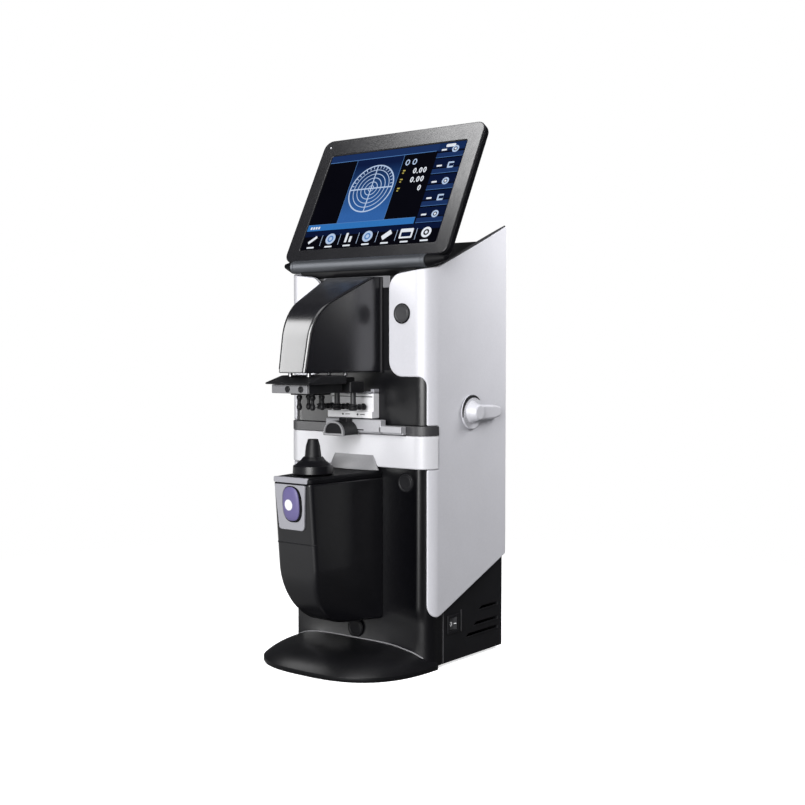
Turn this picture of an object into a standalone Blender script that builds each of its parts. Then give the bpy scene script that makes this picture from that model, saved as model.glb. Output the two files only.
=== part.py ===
"""Digital lensmeter: a tower with a tilting screen, a measuring head, a lens stop and a sprung lens holder.

The machine frame has X across, +Y to the back and +Z up. Its zero is the middle of the tower's front face,
on the desk. The whole machine hangs on one empty that moves the middle of its footprint to the origin.
"""
import bpy
import bmesh
from math import acos, atan2, ceil, cos, pi, radians, sin, tan
from mathutils import Matrix, Vector

# Clearance between pieces that touch, and the running clearance of what moves
GAP = 0.0003
RUN = 0.0004

# Tower outline
TOWER_WIDTH = 0.172
TOWER_DEPTH = 0.128
TOWER_CORNER = 0.016
SKIN = 0.0027
PANEL_WALL = 0.0025
TOP_SLOPE = radians(22.1)
TOP_RECESS = 0.003
TOP_WALL = 0.0025
REAR_RECESS = 0.002
ARC_STEPS = 6

# Side shells, measured along the skin from the middle of the front
LOBE_INNER = 0.0408
LOBE_DROP = 0.004
LOBE_ROUND = 0.015
LOBE_NOTCH_ROUND = 0.009
SHELL_TOE = 0.043
SHELL_TOE_ROUND = 0.012
SHELL_BOTTOM_SLOPE = radians(21.9)

# Shelf band between the two front panels
COLLAR_BOTTOM = 0.1845
COLLAR_HEIGHT = 0.0303
COLLAR_PROUD = 0.0008
LINER_HEIGHT = 0.0086
LINER_PROUD = 0.001

# Base
FOOT_REACH = 0.075
FOOT_CROWN = 0.021
FOOT_RIM = 0.0045
FOOT_POWER = 2.75
FOOT_DOME_POWER = 5.0
FOOT_RINGS = (0.35, 0.6, 0.78, 0.9, 0.97, 1.0)
FOOT_STEPS = 28
RUBBER_FOOT_RADIUS = 0.009
RUBBER_FOOT_HEIGHT = 0.0023
RUBBER_FOOT_SIDE_INSET = 0.024
RUBBER_FOOT_REAR_INSET = 0.022
BASE_PLATE_WALL = 0.002
HOUSING_FRONT = 0.0263
HOUSING_TOP = 0.112
VENT_HEIGHT = 0.003
VENT_REAR_INSET = 0.005
VENT_LENGTHS = (0.0555, 0.0425, 0.0335)
VENT_LEVELS = (0.022, 0.031, 0.045)
SWITCH_Y = 0.04305
SWITCH_Z = 0.03775
SWITCH_LENGTH = 0.0185
SWITCH_HEIGHT = 0.0175
SWITCH_FLANGE = 0.0011
SWITCH_BODY_DEPTH = 0.0135
SWITCH_WALL = 0.0014
ROCKER_TILT = radians(10)
ROCKER_HALF_LENGTH = 0.0053
ROCKER_FLOOR = 0.003
ROCKER_CREST = 0.004
ROCKER_VALLEY = 0.0027
ROCKER_PIVOT_DEPTH = 0.0028
INLET_X = -0.046
INLET_Z = 0.034
INLET_WIDTH = 0.027
INLET_HEIGHT = 0.020
INLET_WALL = 0.0018
INLET_DEPTH = 0.016
INLET_PIN_LENGTH = 0.008
INLET_PIN = 0.002
INLET_PIN_PITCH = 0.007
SUPPLY_WIDTH = 0.078
SUPPLY_DEPTH = 0.062
SUPPLY_HEIGHT = 0.040
SUPPLY_X = -0.018
SUPPLY_CLEARANCE = 0.005
BOARD_WIDTH = 0.120
BOARD_HEIGHT = 0.150
BOARD_THICKNESS = 0.0016
BOARD_RISE = 0.038

# Screw caps on the front
CAP_RADIUS = 0.0083
CAP_THICKNESS = 0.0012
CAP_CROWN_INSET = 0.0008
UPPER_CAP_INSET = 0.0134
UPPER_CAP_DROP = 0.0354
LOWER_CAP_INSET = 0.0112
LOWER_CAP_DROP = 0.013
BOTTOM_CAP_CLEARANCE = 0.0007

# Display, seen upright with the hinge axis at its zero
HINGE_Y = 0.0051
HINGE_RISE = 0.0118
DISPLAY_TILT = radians(27.15)
BARREL_RADIUS = 0.0063
BARREL_CLEARANCE = 0.00064
SHAFT_RADIUS = 0.0025
SADDLE_WALL = 0.0016
SADDLE_REAR_ANGLE = radians(-30)
SADDLE_STEPS = 8
SCREEN_HALF = 0.083
SCREEN_HEIGHT = 0.110
SCREEN_SETBACK = 0.0012
SCREEN_THICKNESS = 0.0035
BEZEL_PROUD = 0.0008
BEZEL_CHAMFER = 0.001
BEZEL_SIDE = 0.016
BEZEL_BELOW = 0.013
BEZEL_ABOVE = 0.0195
BEZEL_THICKNESS = 0.0028
DISPLAY_CORNER = 0.010
WINDOW_CORNER = 0.002
DISPLAY_DEPTH = 0.0082
DISPLAY_CHAMFER = 0.005
DISPLAY_WALL = 0.002
EAR_LENGTH = 0.0162
EAR_INSET = 0.001
EAR_TAPER = 0.35
EAR_SHAFT_SEAT = 0.0035

# Measuring head, above the lens
OPTICAL_AHEAD = 0.0584
NOSE_AHEAD = 0.0288
HEAD_CLEARANCE = 0.0024
HEAD_HEIGHT = 0.0916
HEAD_ABOVE_TOWER = 0.0026
HEAD_FRONT_HALF = 0.0162
HEAD_REAR_HALF = 0.0308
HEAD_FACE_LEAN = radians(9.93)
HEAD_ROOF_SLOPE = radians(25.92)
HEAD_BROW_ROUND = 0.045
HEAD_EDGE_ROUND = 0.004
HEAD_WALL = 0.0025
HEAD_FLOOR_WALL = 0.003
LAMP_RADIUS = 0.009
LAMP_HEIGHT = 0.030
LAMP_WALL = 0.0015
LENS_THICKNESS = 0.003
BEAM_RADIUS = 0.005

# Pod, below the lens
POD_DROP = 0.010
POD_HEIGHT = 0.1325
POD_FRONT_HALF = 0.0226
POD_KEEL_HALF = 0.0132
POD_PINCH_POWER = 1.15
POD_REAR_HALF = 0.0312
POD_FACE_LEAN = radians(4.73)
POD_KEEL_ROUND = 0.055
POD_EDGE_ROUND = 0.0045
POD_WALL = 0.0025
POD_CAP_HEIGHT = 0.0065
POD_CAP_SLOPE = 0.0015
RAMP_HEIGHT = 0.0136
RAMP_TOP_HALF = 0.0234
RAMP_BOTTOM_HALF = 0.030
RAMP_TOP_DEPTH = 0.0015
RAMP_BOTTOM_DEPTH = 0.007
NOSE_COLLAR_RADIUS = 0.0185
NOSE_COLLAR_HEIGHT = 0.0075
NOSE_COLLAR_DRAFT = 0.0009
NOSE_CONE_HEIGHT = 0.0075
NOSE_NECK_RADIUS = 0.0076
NOSE_TIP_RADIUS = 0.0060
NOSE_LIP = 0.0032
NOSE_DROP = 0.0032
NOSE_BORE = 0.0036
NOSE_SEAT = 0.006
WINDOW_THICKNESS = 0.0015
IMAGING_RADIUS = 0.0125
IMAGING_LENGTH = 0.080
IMAGING_WALL = 0.002
SENSOR_WIDTH = 0.030
SENSOR_THICKNESS = 0.0016

# Memory button and its plate, on the pod's face
PLATE_DROP = 0.0008
PLATE_RIM = 0.0015
PLATE_TAIL = 0.0084
PLATE_TOP_HALF = 0.0175
PLATE_BOTTOM_HALF = 0.013
PLATE_THICKNESS = 0.0014
PLATE_ROUND = 0.003
BUTTON_HALF_WIDTH = 0.0098
BUTTON_HALF_HEIGHT = 0.0152
BUTTON_PROUD = 0.0024
BUTTON_LENGTH = 0.0066
BUTTON_CROWN = 0.001
BUTTON_CROWN_INSET = 0.0015

# Lens holder: carriage, hand lever, face bar and pins
LENS_SPACE = 0.0263
HOLDER_HEIGHT = 0.0080
HOLDER_HALF = 0.021
HOLDER_AHEAD = 0.0276
HOLDER_BEHIND = 0.0164
LEVER_HALF = 0.026
LEVER_LIP = 0.007
LEVER_TIP = 0.0015
LEVER_RISE = 0.0075
LEVER_RAMP = 0.021
FACE_BAR_THICKNESS = 0.0034
FACE_BAR_HALF = 0.0212
GUIDE_ROD_RADIUS = 0.002
GUIDE_ROD_REACH = 0.030
HOLDER_ROD_X = 0.011
HOLDER_ROD_INSET = 0.010
PIN_HALF_X = 0.008
PIN_HALF_Y = 0.0062
PIN_AHEAD = 0.003
PIN_LENGTH = 0.0154
PIN_RADIUS = 0.0026
PIN_FOOT_RADIUS = 0.0024
PIN_WAIST = 0.0015
PIN_FOOT_BOTTOM = 0.0015
PIN_FOOT_TOP = 0.004
PIN_WAIST_BOTTOM = 0.0065
PIN_WAIST_TOP = 0.0085
PIN_BODY_BOTTOM = 0.0111
PIN_PLATE_WALL = 0.0016
PIN_PLATE_MARGIN = 0.0035

# Marker, behind the holder, and the box of its ink pad
MARKER_CLEARANCE = 0.007
MARKER_SPACE = 0.009
MARKER_PITCH = 0.0193
MARKER_HALF = 0.025
MARKER_DEPTH = 0.020
MARKER_HEIGHT = 0.014
MARKER_ROD_X = 0.010
MARKER_PIN_LENGTH = 0.0162
MARKER_PIN_RADIUS = 0.0027
MARKER_TIP_RADIUS = 0.0032
MARKER_FOOT_RADIUS = 0.0046
MARKER_FOOT_HEIGHT = 0.006
MARKER_FOOT_ROUND = 0.0015
PAD_HALF = 0.0272
PAD_REACH = 0.0076
PAD_CLEARANCE = 0.0011
PAD_HEIGHT = 0.0229

# Lens table with its slider, rack, pinion and lever
TABLE_RISE = 0.0006
TABLE_END = 0.007
TABLE_DEPTH = 0.0076
TABLE_HEIGHT = 0.0128
TABLE_TRAVEL = 0.014
GROOVE_RISE = 0.0013
GROOVE_HEIGHT = 0.003
GROOVE_DEPTH = 0.003
SLIDER_HALF = 0.0123
SLIDER_DROP = 0.0017
SLIDER_HEIGHT = 0.0138
SLIDER_DEPTH = 0.0217
SLIDER_TONGUE_HALF = 0.010
DIAL_Y = 0.067
DIAL_RISE = 0.0194
DIAL_RADIUS = 0.0161
DIAL_THICKNESS = 0.004
PINION_TEETH = 11
TOOTH_MODULE = 0.002
PRESSURE_ANGLE = radians(20)
PINION_WIDTH = 0.010
PINION_SPACING = 0.007
RACK_THICKNESS = 0.0045
RACK_LEAD = 0.020
RACK_TAIL = 0.031
BACKLASH = 0.0006
TABLE_ROD_X = -0.021
TABLE_ROD_RADIUS = 0.0022
TABLE_ROD_SPARE = 0.0072
GUIDE_DEPTH = 0.018
GUIDE_MARGIN = 0.007
LEVER_SHAFT_RADIUS = 0.004
BUSH_RADIUS = 0.008
BUSH_LENGTH = 0.021
BUSH_FLANGE_RADIUS = 0.014
BUSH_FLANGE = 0.003
HUB_RADIUS = 0.0095
HUB_THICKNESS = 0.0072
ARM_LENGTH = 0.038
ARM_TIP_RADIUS = 0.006

# Tower: what follows from the sizes above, across and from front to back
HALF_WIDTH = TOWER_WIDTH / 2
FLAT = HALF_WIDTH - TOWER_CORNER
ARC_LENGTH = TOWER_CORNER * pi / 2
SIDE_START = FLAT + ARC_LENGTH
MID_ARC = FLAT + ARC_LENGTH / 2
INSET = SKIN + GAP
BODY_HALF = HALF_WIDTH - INSET
PANEL_FRONT = INSET
PANEL_BACK = INSET + PANEL_WALL
SEAT_ON_FRONT = PANEL_FRONT - GAP
HOUSING_BACK = TOWER_DEPTH - REAR_RECESS
REAR_FRONT = HOUSING_BACK - PANEL_WALL
VENT_BACK = REAR_FRONT - VENT_REAR_INSET
INLET_MOUTH = HOUSING_BACK + GAP
INLET_FLOOR = INLET_MOUTH - INLET_DEPTH

# Heights, from the base up through the shelf, the lens table and the lens to the tower's top
HOUSING_BOTTOM = RUBBER_FOOT_HEIGHT + GAP
BASE_PLATE_TOP = HOUSING_BOTTOM + BASE_PLATE_WALL
COLLAR_TOP = COLLAR_BOTTOM + COLLAR_HEIGHT
LINER_BOTTOM = COLLAR_TOP + GAP
LINER_TOP = LINER_BOTTOM + LINER_HEIGHT
POD_TOP = COLLAR_BOTTOM - POD_DROP
POD_BOTTOM = POD_TOP - POD_HEIGHT
POD_CAP_BOTTOM = POD_TOP + GAP
POD_CAP_TOP = POD_CAP_BOTTOM + POD_CAP_HEIGHT
PLATE_TOP = POD_TOP - PLATE_DROP
BUTTON_Z = PLATE_TOP - PLATE_RIM - RUN - BUTTON_HALF_HEIGHT
PLATE_BOTTOM = BUTTON_Z - BUTTON_HALF_HEIGHT - PLATE_TAIL
TABLE_BOTTOM = LINER_BOTTOM + TABLE_RISE
TABLE_TOP = TABLE_BOTTOM + TABLE_HEIGHT
SLIDER_BOTTOM = TABLE_BOTTOM - SLIDER_DROP
PAD_BOTTOM = TABLE_TOP + PAD_CLEARANCE
NOSE_TIP = TABLE_BOTTOM - NOSE_DROP
PIN_TIP = NOSE_TIP + LENS_SPACE
HOLDER_BOTTOM = PIN_TIP + PIN_LENGTH + GAP
HOLDER_TOP = HOLDER_BOTTOM + HOLDER_HEIGHT
LEVER_CREST = HOLDER_TOP + LEVER_RISE
MARKER_TIP = TABLE_TOP + MARKER_SPACE
MARKER_BOTTOM = MARKER_TIP + MARKER_PIN_LENGTH + GAP
MARKER_TOP = MARKER_BOTTOM + MARKER_HEIGHT
HEAD_BOTTOM = LEVER_CREST + HEAD_CLEARANCE
HEAD_TOP = HEAD_BOTTOM + HEAD_HEIGHT
GUIDE_ROD_TOP = HEAD_BOTTOM + GUIDE_ROD_REACH
LOBE_BOTTOM = HEAD_BOTTOM - LOBE_DROP
TOP_FRONT = HEAD_TOP - HEAD_ABOVE_TOWER
HINGE_Z = TOP_FRONT + HINGE_RISE

# Display, across and up from the hinge
DISPLAY_HALF = SCREEN_HALF + BEZEL_SIDE
DISPLAY_BOTTOM = BARREL_RADIUS + BARREL_CLEARANCE
SCREEN_BOTTOM = DISPLAY_BOTTOM + BEZEL_BELOW
BARREL_HALF = DISPLAY_HALF - EAR_INSET - EAR_LENGTH - RUN
SADDLE_BACK = HINGE_Y + BARREL_RADIUS + SADDLE_WALL

# Places along the optical axis, from the nose back to the shelf
OPTICAL_Y = -OPTICAL_AHEAD
NOSE_REACH = OPTICAL_AHEAD + NOSE_AHEAD
PIN_MIDDLE_Y = OPTICAL_Y - PIN_AHEAD
HOLDER_FRONT = OPTICAL_Y - HOLDER_AHEAD
HOLDER_BACK = OPTICAL_Y + HOLDER_BEHIND
LEVER_FRONT = HOLDER_FRONT - LEVER_LIP
HOLDER_ROD_Y = HOLDER_FRONT + HOLDER_ROD_INSET
MARKER_Y = HOLDER_BACK + MARKER_CLEARANCE + MARKER_DEPTH / 2
TABLE_BACK = -LINER_PROUD - RUN
TABLE_FRONT = TABLE_BACK - TABLE_DEPTH
FRAME_SHIFT = (-LEVER_FRONT - TOWER_DEPTH) / 2

# Table drive
DIAL_Z = LINER_BOTTOM + DIAL_RISE
PITCH_RADIUS = PINION_TEETH * TOOTH_MODULE / 2
PITCH_LINE = DIAL_Z - PITCH_RADIUS
ADDENDUM = 0.85 * TOOTH_MODULE
DEDENDUM = 1.2 * TOOTH_MODULE
RACK_TOP = PITCH_LINE - DEDENDUM
RACK_BOTTOM = RACK_TOP - RACK_THICKNESS
PINION_X = BODY_HALF - BUSH_LENGTH - PINION_SPACING - PINION_WIDTH / 2
TABLE_RIGHT = PINION_X + PINION_WIDTH / 2 + TABLE_END
TABLE_LEFT = TABLE_ROD_X - TABLE_END
TABLE_ROD_Z = (LINER_BOTTOM + LINER_TOP) / 2
GUIDE_FRONT = PANEL_BACK + GAP
GUIDE_BACK = GUIDE_FRONT + GUIDE_DEPTH
TABLE_ROD_BACK = GUIDE_BACK + TABLE_TRAVEL + TABLE_ROD_SPARE


def clear_scene():
    """Empty the scene."""
    for item in list(bpy.data.objects):
        bpy.data.objects.remove(item, do_unlink=True)


def make_material(name, colour, roughness, metallic=0.0):
    """Return a Principled material."""
    finish = bpy.data.materials.new(name)
    finish.use_nodes = True
    shader = finish.node_tree.nodes["Principled BSDF"]
    shader.inputs["Base Color"].default_value = (*colour, 1.0)
    shader.inputs["Roughness"].default_value = roughness
    shader.inputs["Metallic"].default_value = metallic
    return finish


def add_empty(name, place, parent=None, turn=(0, 0, 0)):
    """Add an empty that carries other objects."""
    empty = bpy.data.objects.new(name, None)
    empty.location = place
    empty.rotation_euler = turn
    empty.parent = parent
    bpy.context.scene.collection.objects.link(empty)
    return empty


def add_object(name, shape, finish, carrier, smooth=False):
    """Turn a bmesh into a named object in the machine frame, carried by an empty.

    A carrier with a location of its own is a joint: the piece keeps its place and turns about that point.
    """
    bmesh.ops.recalc_face_normals(shape, faces=shape.faces)
    mesh = bpy.data.meshes.new(name)
    shape.to_mesh(mesh)
    shape.free()
    if smooth:
        mesh.shade_smooth()
        mesh.set_sharp_from_angle(angle=radians(35))
    item = bpy.data.objects.new(name, mesh)
    bpy.context.scene.collection.objects.link(item)
    item.parent = carrier
    if finish is None:
        item.hide_render = True
        item.display_type = 'WIRE'
    else:
        mesh.materials.append(finish)
    if carrier.parent is not None and not any(carrier.rotation_euler):
        item.matrix_parent_inverse = Matrix.Translation(-carrier.location)
    return item


def combine(item, shape, operation):
    """Cut a shape from an object, or join it on, with a Boolean modifier."""
    number = len(item.modifiers) + 1
    tool = add_object(f"{item.name}_tool_{number}", shape, None, item.parent)
    change = item.modifiers.new(f"{operation.lower()}_{number}", 'BOOLEAN')
    change.operation = operation
    change.object = tool


def cut(item, *shapes):
    """Cut each shape from an object."""
    for shape in shapes:
        combine(item, shape, 'DIFFERENCE')


def join(item, *shapes):
    """Join each shape on to an object."""
    for shape in shapes:
        combine(item, shape, 'UNION')


def rounded(corners, radii, closed=True):
    """Return an outline with each corner turned into an arc of its own radius."""
    outline = []
    count = len(corners)
    for number, (corner, radius) in enumerate(zip(corners, radii)):
        end = not closed and number in (0, count - 1)
        if radius == 0 or end:
            outline.append(tuple(corner))
            continue
        here = Vector(corner)
        to_last = (Vector(corners[number - 1]) - here).normalized()
        to_next = (Vector(corners[(number + 1) % count]) - here).normalized()
        half = acos(max(-1.0, min(1.0, to_last.dot(to_next)))) / 2
        reach = radius / tan(half)
        centre = here + (to_last + to_next).normalized() * (radius / sin(half))
        first = here + to_last * reach - centre
        last = here + to_next * reach - centre
        start = atan2(first.y, first.x)
        sweep = (atan2(last.y, last.x) - start + pi) % (2 * pi) - pi
        steps = max(2, ceil(abs(sweep) / (pi / 2) * ARC_STEPS))
        for step in range(steps + 1):
            angle = start + sweep * step / steps
            outline.append((centre.x + radius * cos(angle), centre.y + radius * sin(angle)))
    return outline


def box_corners(low, high):
    """Return the four corners of a rectangle, in order."""
    return [(low[0], low[1]), (high[0], low[1]), (high[0], high[1]), (low[0], high[1])]


def loft(rings, ends=True):
    """Join rings of equal count into a skin. It is closed by its end rings, or back on to its first ring."""
    shape = bmesh.new()
    rows = [[shape.verts.new(point) for point in ring] for ring in rings]
    count = len(rows[0])
    pairs = list(zip(rows, rows[1:]))
    if not ends:
        pairs.append((rows[-1], rows[0]))
    for row, following in pairs:
        for place in range(count):
            after = (place + 1) % count
            shape.faces.new((row[place], row[after], following[after], following[place]))
    if ends:
        shape.faces.new(rows[0])
        shape.faces.new(rows[-1])
    return shape


def prism(outline, axis, low, high):
    """Extrude an outline along X, Y or Z. The outline's two values follow the other axes in their order."""
    return loft([[place_on(axis, point, level) for point in outline] for level in (low, high)])


def place_on(axis, point, level):
    """Return the point of an outline at a level along an axis."""
    values = list(point)
    values.insert("XYZ".index(axis), level)
    return tuple(values)


def block(low, high):
    """Return a box between two corners."""
    return prism(box_corners(low[:2], high[:2]), "Z", low[2], high[2])


def circle(centre, radius, count=24, start=0.0):
    """Return the points of a circle."""
    angles = [start + 2 * pi * number / count for number in range(count)]
    return [(centre[0] + radius * cos(angle), centre[1] + radius * sin(angle)) for angle in angles]


def ellipse(centre, half_width, half_height, count=32):
    """Return the points of an oval."""
    return [(centre[0] + half_width * x, centre[1] + half_height * y) for x, y in circle((0, 0), 1, count)]


def rod(axis, centre, radius, low, high, count=20):
    """Return a round bar along an axis."""
    return prism(circle(centre, radius, count), axis, low, high)


def turned(profile, axis, centre, count=24, ends=True):
    """Turn a profile of (radius, level) pairs about an axis. Without ends it closes on itself as a ring."""
    rings = [[place_on(axis, point, level) for point in circle(centre, radius, count)]
             for radius, level in profile]
    return loft(rings, ends)


def tube(axis, centre, outer, inner, low, high, count=24):
    """Return a round bar with a bore."""
    return turned([(outer, low), (outer, high), (inner, high), (inner, low)], axis, centre, count, ends=False)


def wrap(along, depth, level):
    """Return the point at a length along the tower's skin, at a depth below it."""
    side = 1 if along >= 0 else -1
    length = abs(along)
    if length <= FLAT:
        return (along, depth, level)
    if length <= SIDE_START:
        angle = (length - FLAT) / TOWER_CORNER
        radius = TOWER_CORNER - depth
        return (side * (FLAT + radius * sin(angle)), TOWER_CORNER - radius * cos(angle), level)
    return (side * (HALF_WIDTH - depth), TOWER_CORNER + length - SIDE_START, level)


def along_side(depth_from_front):
    """Return the length along the skin at a distance back from the tower's front."""
    return SIDE_START + depth_from_front - TOWER_CORNER


def wrapped_plate(outline, outside, inside):
    """Bend a flat plate, drawn as length along the skin and height, round the tower's corners."""
    shape = bmesh.new()
    shape.faces.new([shape.verts.new((along, 0, level)) for along, level in outline])
    for side in (-1, 1):
        for step in range(ARC_STEPS + 1):
            fold = side * (FLAT + ARC_LENGTH * step / ARC_STEPS)
            parts = shape.verts[:] + shape.edges[:] + shape.faces[:]
            bmesh.ops.bisect_plane(shape, geom=parts, plane_co=(fold, 0, 0), plane_no=(1, 0, 0), dist=1e-7)
    outer = shape.faces[:]
    copy = bmesh.ops.extrude_face_region(shape, geom=outer, use_keep_orig=True)
    inner = {item for item in copy["geom"] if isinstance(item, bmesh.types.BMVert)}
    for vertex in shape.verts:
        vertex.co = wrap(vertex.co.x, inside if vertex in inner else outside, vertex.co.z)
    return shape


def top_of_tower(depth):
    """Return the height of the shells' top edge at a distance back from the front."""
    return TOP_FRONT + tan(TOP_SLOPE) * depth


def shell_outline():
    """Return the right shell's outline along the skin, with its front lobe and the notch for the shelf."""
    back = along_side(TOWER_DEPTH)
    heel = SHELL_TOE + tan(SHELL_BOTTOM_SLOPE) * (back - MID_ARC)
    notch_top = LINER_TOP + GAP
    notch_bottom = COLLAR_BOTTOM - GAP
    corners = [(back, heel), (back, top_of_tower(TOWER_DEPTH)), (SIDE_START, top_of_tower(TOWER_CORNER)),
               (LOBE_INNER, TOP_FRONT), (LOBE_INNER, LOBE_BOTTOM), (MID_ARC, LOBE_BOTTOM),
               (MID_ARC, notch_top), (SIDE_START, notch_top), (SIDE_START, notch_bottom),
               (MID_ARC, notch_bottom), (MID_ARC, SHELL_TOE)]
    radii = [0, 0, 0, LOBE_ROUND, LOBE_ROUND, LOBE_NOTCH_ROUND, 0, 0, 0, 0, SHELL_TOE_ROUND]
    return rounded(corners, radii)


def make_shells(finish, root):
    """Make the two silver side shells. The right one has the hole for the lever's shaft."""
    outline = shell_outline()
    right = add_object("right_side_shell", wrapped_plate(outline, 0, SKIN), finish, root, smooth=True)
    hole = LEVER_SHAFT_RADIUS + RUN
    cut(right, rod("X", (DIAL_Y, DIAL_Z), hole, HALF_WIDTH - 2 * SKIN, HALF_WIDTH + SKIN))
    mirrored = [(-along, level) for along, level in outline]
    add_object("left_side_shell", wrapped_plate(mirrored, 0, SKIN), finish, root, smooth=True)


def make_front(black, white, liner_finish, root):
    """Make the two front panels and the shelf band between them."""
    edge = along_side(HOUSING_FRONT - GAP)
    lower = box_corners((-edge, HOUSING_BOTTOM), (edge, COLLAR_TOP))
    add_object("lower_front_panel", wrapped_plate(lower, PANEL_FRONT, PANEL_BACK), black, root, smooth=True)
    upper = box_corners((-edge, LINER_TOP + GAP), (edge, TOP_FRONT - GAP))
    add_object("upper_front_panel", wrapped_plate(upper, PANEL_FRONT, PANEL_BACK), black, root, smooth=True)
    band = SIDE_START - GAP
    collar = box_corners((-band, COLLAR_BOTTOM), (band, COLLAR_TOP))
    add_object("shelf_collar", wrapped_plate(collar, -COLLAR_PROUD, SKIN), white, root, smooth=True)
    strip = box_corners((-band, LINER_BOTTOM), (band, LINER_TOP))
    wrapped_strip = wrapped_plate(strip, -LINER_PROUD, SKIN)
    liner = add_object("shelf_liner", wrapped_strip, liner_finish, root, smooth=True)
    cut(liner, rack_passage(-2 * LINER_PROUD, 2 * SKIN), rod_passage(-2 * LINER_PROUD, 2 * SKIN))


def rack_passage(front, back):
    """Return the rectangular way that the rack slides through."""
    half = PINION_WIDTH / 2 + RUN
    return block((PINION_X - half, front, RACK_BOTTOM - RUN), (PINION_X + half, back, RACK_TOP + RUN))


def rod_passage(front, back):
    """Return the round way that the table's rod slides through."""
    return rod("Y", (TABLE_ROD_X, TABLE_ROD_Z), TABLE_ROD_RADIUS + RUN, front, back)


def make_caps(finish, root):
    """Make the five round covers over the front's screws."""
    upper_x = FLAT - UPPER_CAP_INSET
    upper_z = TOP_FRONT - UPPER_CAP_DROP
    lower_x = FLAT - LOWER_CAP_INSET
    lower_z = COLLAR_BOTTOM - LOWER_CAP_DROP
    bottom_z = FOOT_CROWN + BOTTOM_CAP_CLEARANCE + CAP_RADIUS
    places = {
        "screw_cap_upper_right": (upper_x, upper_z, 0.0),
        "screw_cap_upper_left": (-upper_x, upper_z, 0.0),
        "screw_cap_lower_right": (lower_x, lower_z, PANEL_FRONT),
        "screw_cap_lower_left": (-lower_x, lower_z, PANEL_FRONT),
        "screw_cap_bottom": (0.0, bottom_z, PANEL_FRONT),
    }
    for name, (across, up, face) in places.items():
        back = face - GAP
        crown = back - CAP_THICKNESS
        middle = crown + CAP_THICKNESS / 2
        profile = [(CAP_RADIUS, back), (CAP_RADIUS, middle), (CAP_RADIUS - CAP_CROWN_INSET, crown)]
        add_object(name, turned(profile, "Y", (across, up)), finish, root, smooth=True)


def make_covers(black, silver, root):
    """Make the sloping top cover, the rear cover and the saddle that the hinge barrel lies in."""
    half = BODY_HALF - GAP
    front = SADDLE_BACK + GAP
    roof = [(depth, top_of_tower(depth) - TOP_RECESS) for depth in (front, HOUSING_BACK)]
    roof += [(depth, top_of_tower(depth) - TOP_RECESS - TOP_WALL) for depth in (HOUSING_BACK, front)]
    add_object("top_cover", prism(roof, "X", -half, half), black, root)
    rear_top = top_of_tower(REAR_FRONT) - TOP_RECESS - TOP_WALL - GAP
    rear = block((-half, REAR_FRONT, HOUSING_TOP + GAP), (half, HOUSING_BACK, rear_top))
    add_object("rear_cover", rear, silver, root)
    seat = BARREL_RADIUS + GAP
    front_angle = -acos((PANEL_FRONT - HINGE_Y) / seat)
    sweep = front_angle - SADDLE_REAR_ANGLE
    angles = [SADDLE_REAR_ANGLE + sweep * step / SADDLE_STEPS for step in range(SADDLE_STEPS + 1)]
    cradle = [(HINGE_Y + seat * cos(angle), HINGE_Z + seat * sin(angle)) for angle in angles]
    outline = [(PANEL_FRONT, TOP_FRONT), (SADDLE_BACK, TOP_FRONT), (SADDLE_BACK, cradle[0][1]), *cradle]
    add_object("hinge_saddle", prism(outline, "X", -FLAT, FLAT), black, root, smooth=True)


def foot_point(share, angle, level):
    """Return a point of the foot's plan: half a superellipse, from where the tower's corners end."""
    across = abs(cos(angle)) ** (2 / FOOT_POWER) * (1 if cos(angle) >= 0 else -1)
    ahead = abs(sin(angle)) ** (2 / FOOT_POWER) * (FOOT_REACH + TOWER_CORNER)
    return (share * HALF_WIDTH * across, TOWER_CORNER - share * ahead, level)


def foot_top(share):
    """Return the foot's height from its middle, at share 0, to its rim, at share 1."""
    return FOOT_RIM + (FOOT_CROWN - FOOT_RIM) * (1 - share ** FOOT_DOME_POWER)


def make_foot(finish, root):
    """Make the domed tongue: a fan of rings round the middle of its back, with the tower's front cut out."""
    turns = [pi * step / FOOT_STEPS for step in range(FOOT_STEPS + 1)]
    shape = bmesh.new()
    top = shape.verts.new(foot_point(0, 0, foot_top(0)))
    bottom = shape.verts.new(foot_point(0, 0, 0))
    rows = [[shape.verts.new(foot_point(share, turn, foot_top(share))) for turn in turns]
            for share in FOOT_RINGS]
    rim = [shape.verts.new(foot_point(1, turn, 0)) for turn in turns]
    rows.append(rim)
    for place in range(len(turns) - 1):
        shape.faces.new((top, rows[0][place], rows[0][place + 1]))
        shape.faces.new((bottom, rim[place + 1], rim[place]))
        for row, following in zip(rows, rows[1:]):
            shape.faces.new((row[place], following[place], following[place + 1], row[place + 1]))
    right_edge = [row[0] for row in rows]
    left_edge = [row[-1] for row in rows]
    shape.faces.new([top, *left_edge, bottom, *reversed(right_edge)])
    foot = add_object("front_foot", shape, finish, root, smooth=True)
    fit = BODY_HALF + GAP
    corner = TOWER_CORNER - SEAT_ON_FRONT
    plan = rounded(box_corners((-fit, SEAT_ON_FRONT), (fit, TOWER_DEPTH)), [corner, corner, 0, 0])
    cut(foot, prism(plan, "Z", -FOOT_CROWN, 2 * FOOT_CROWN))


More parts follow.
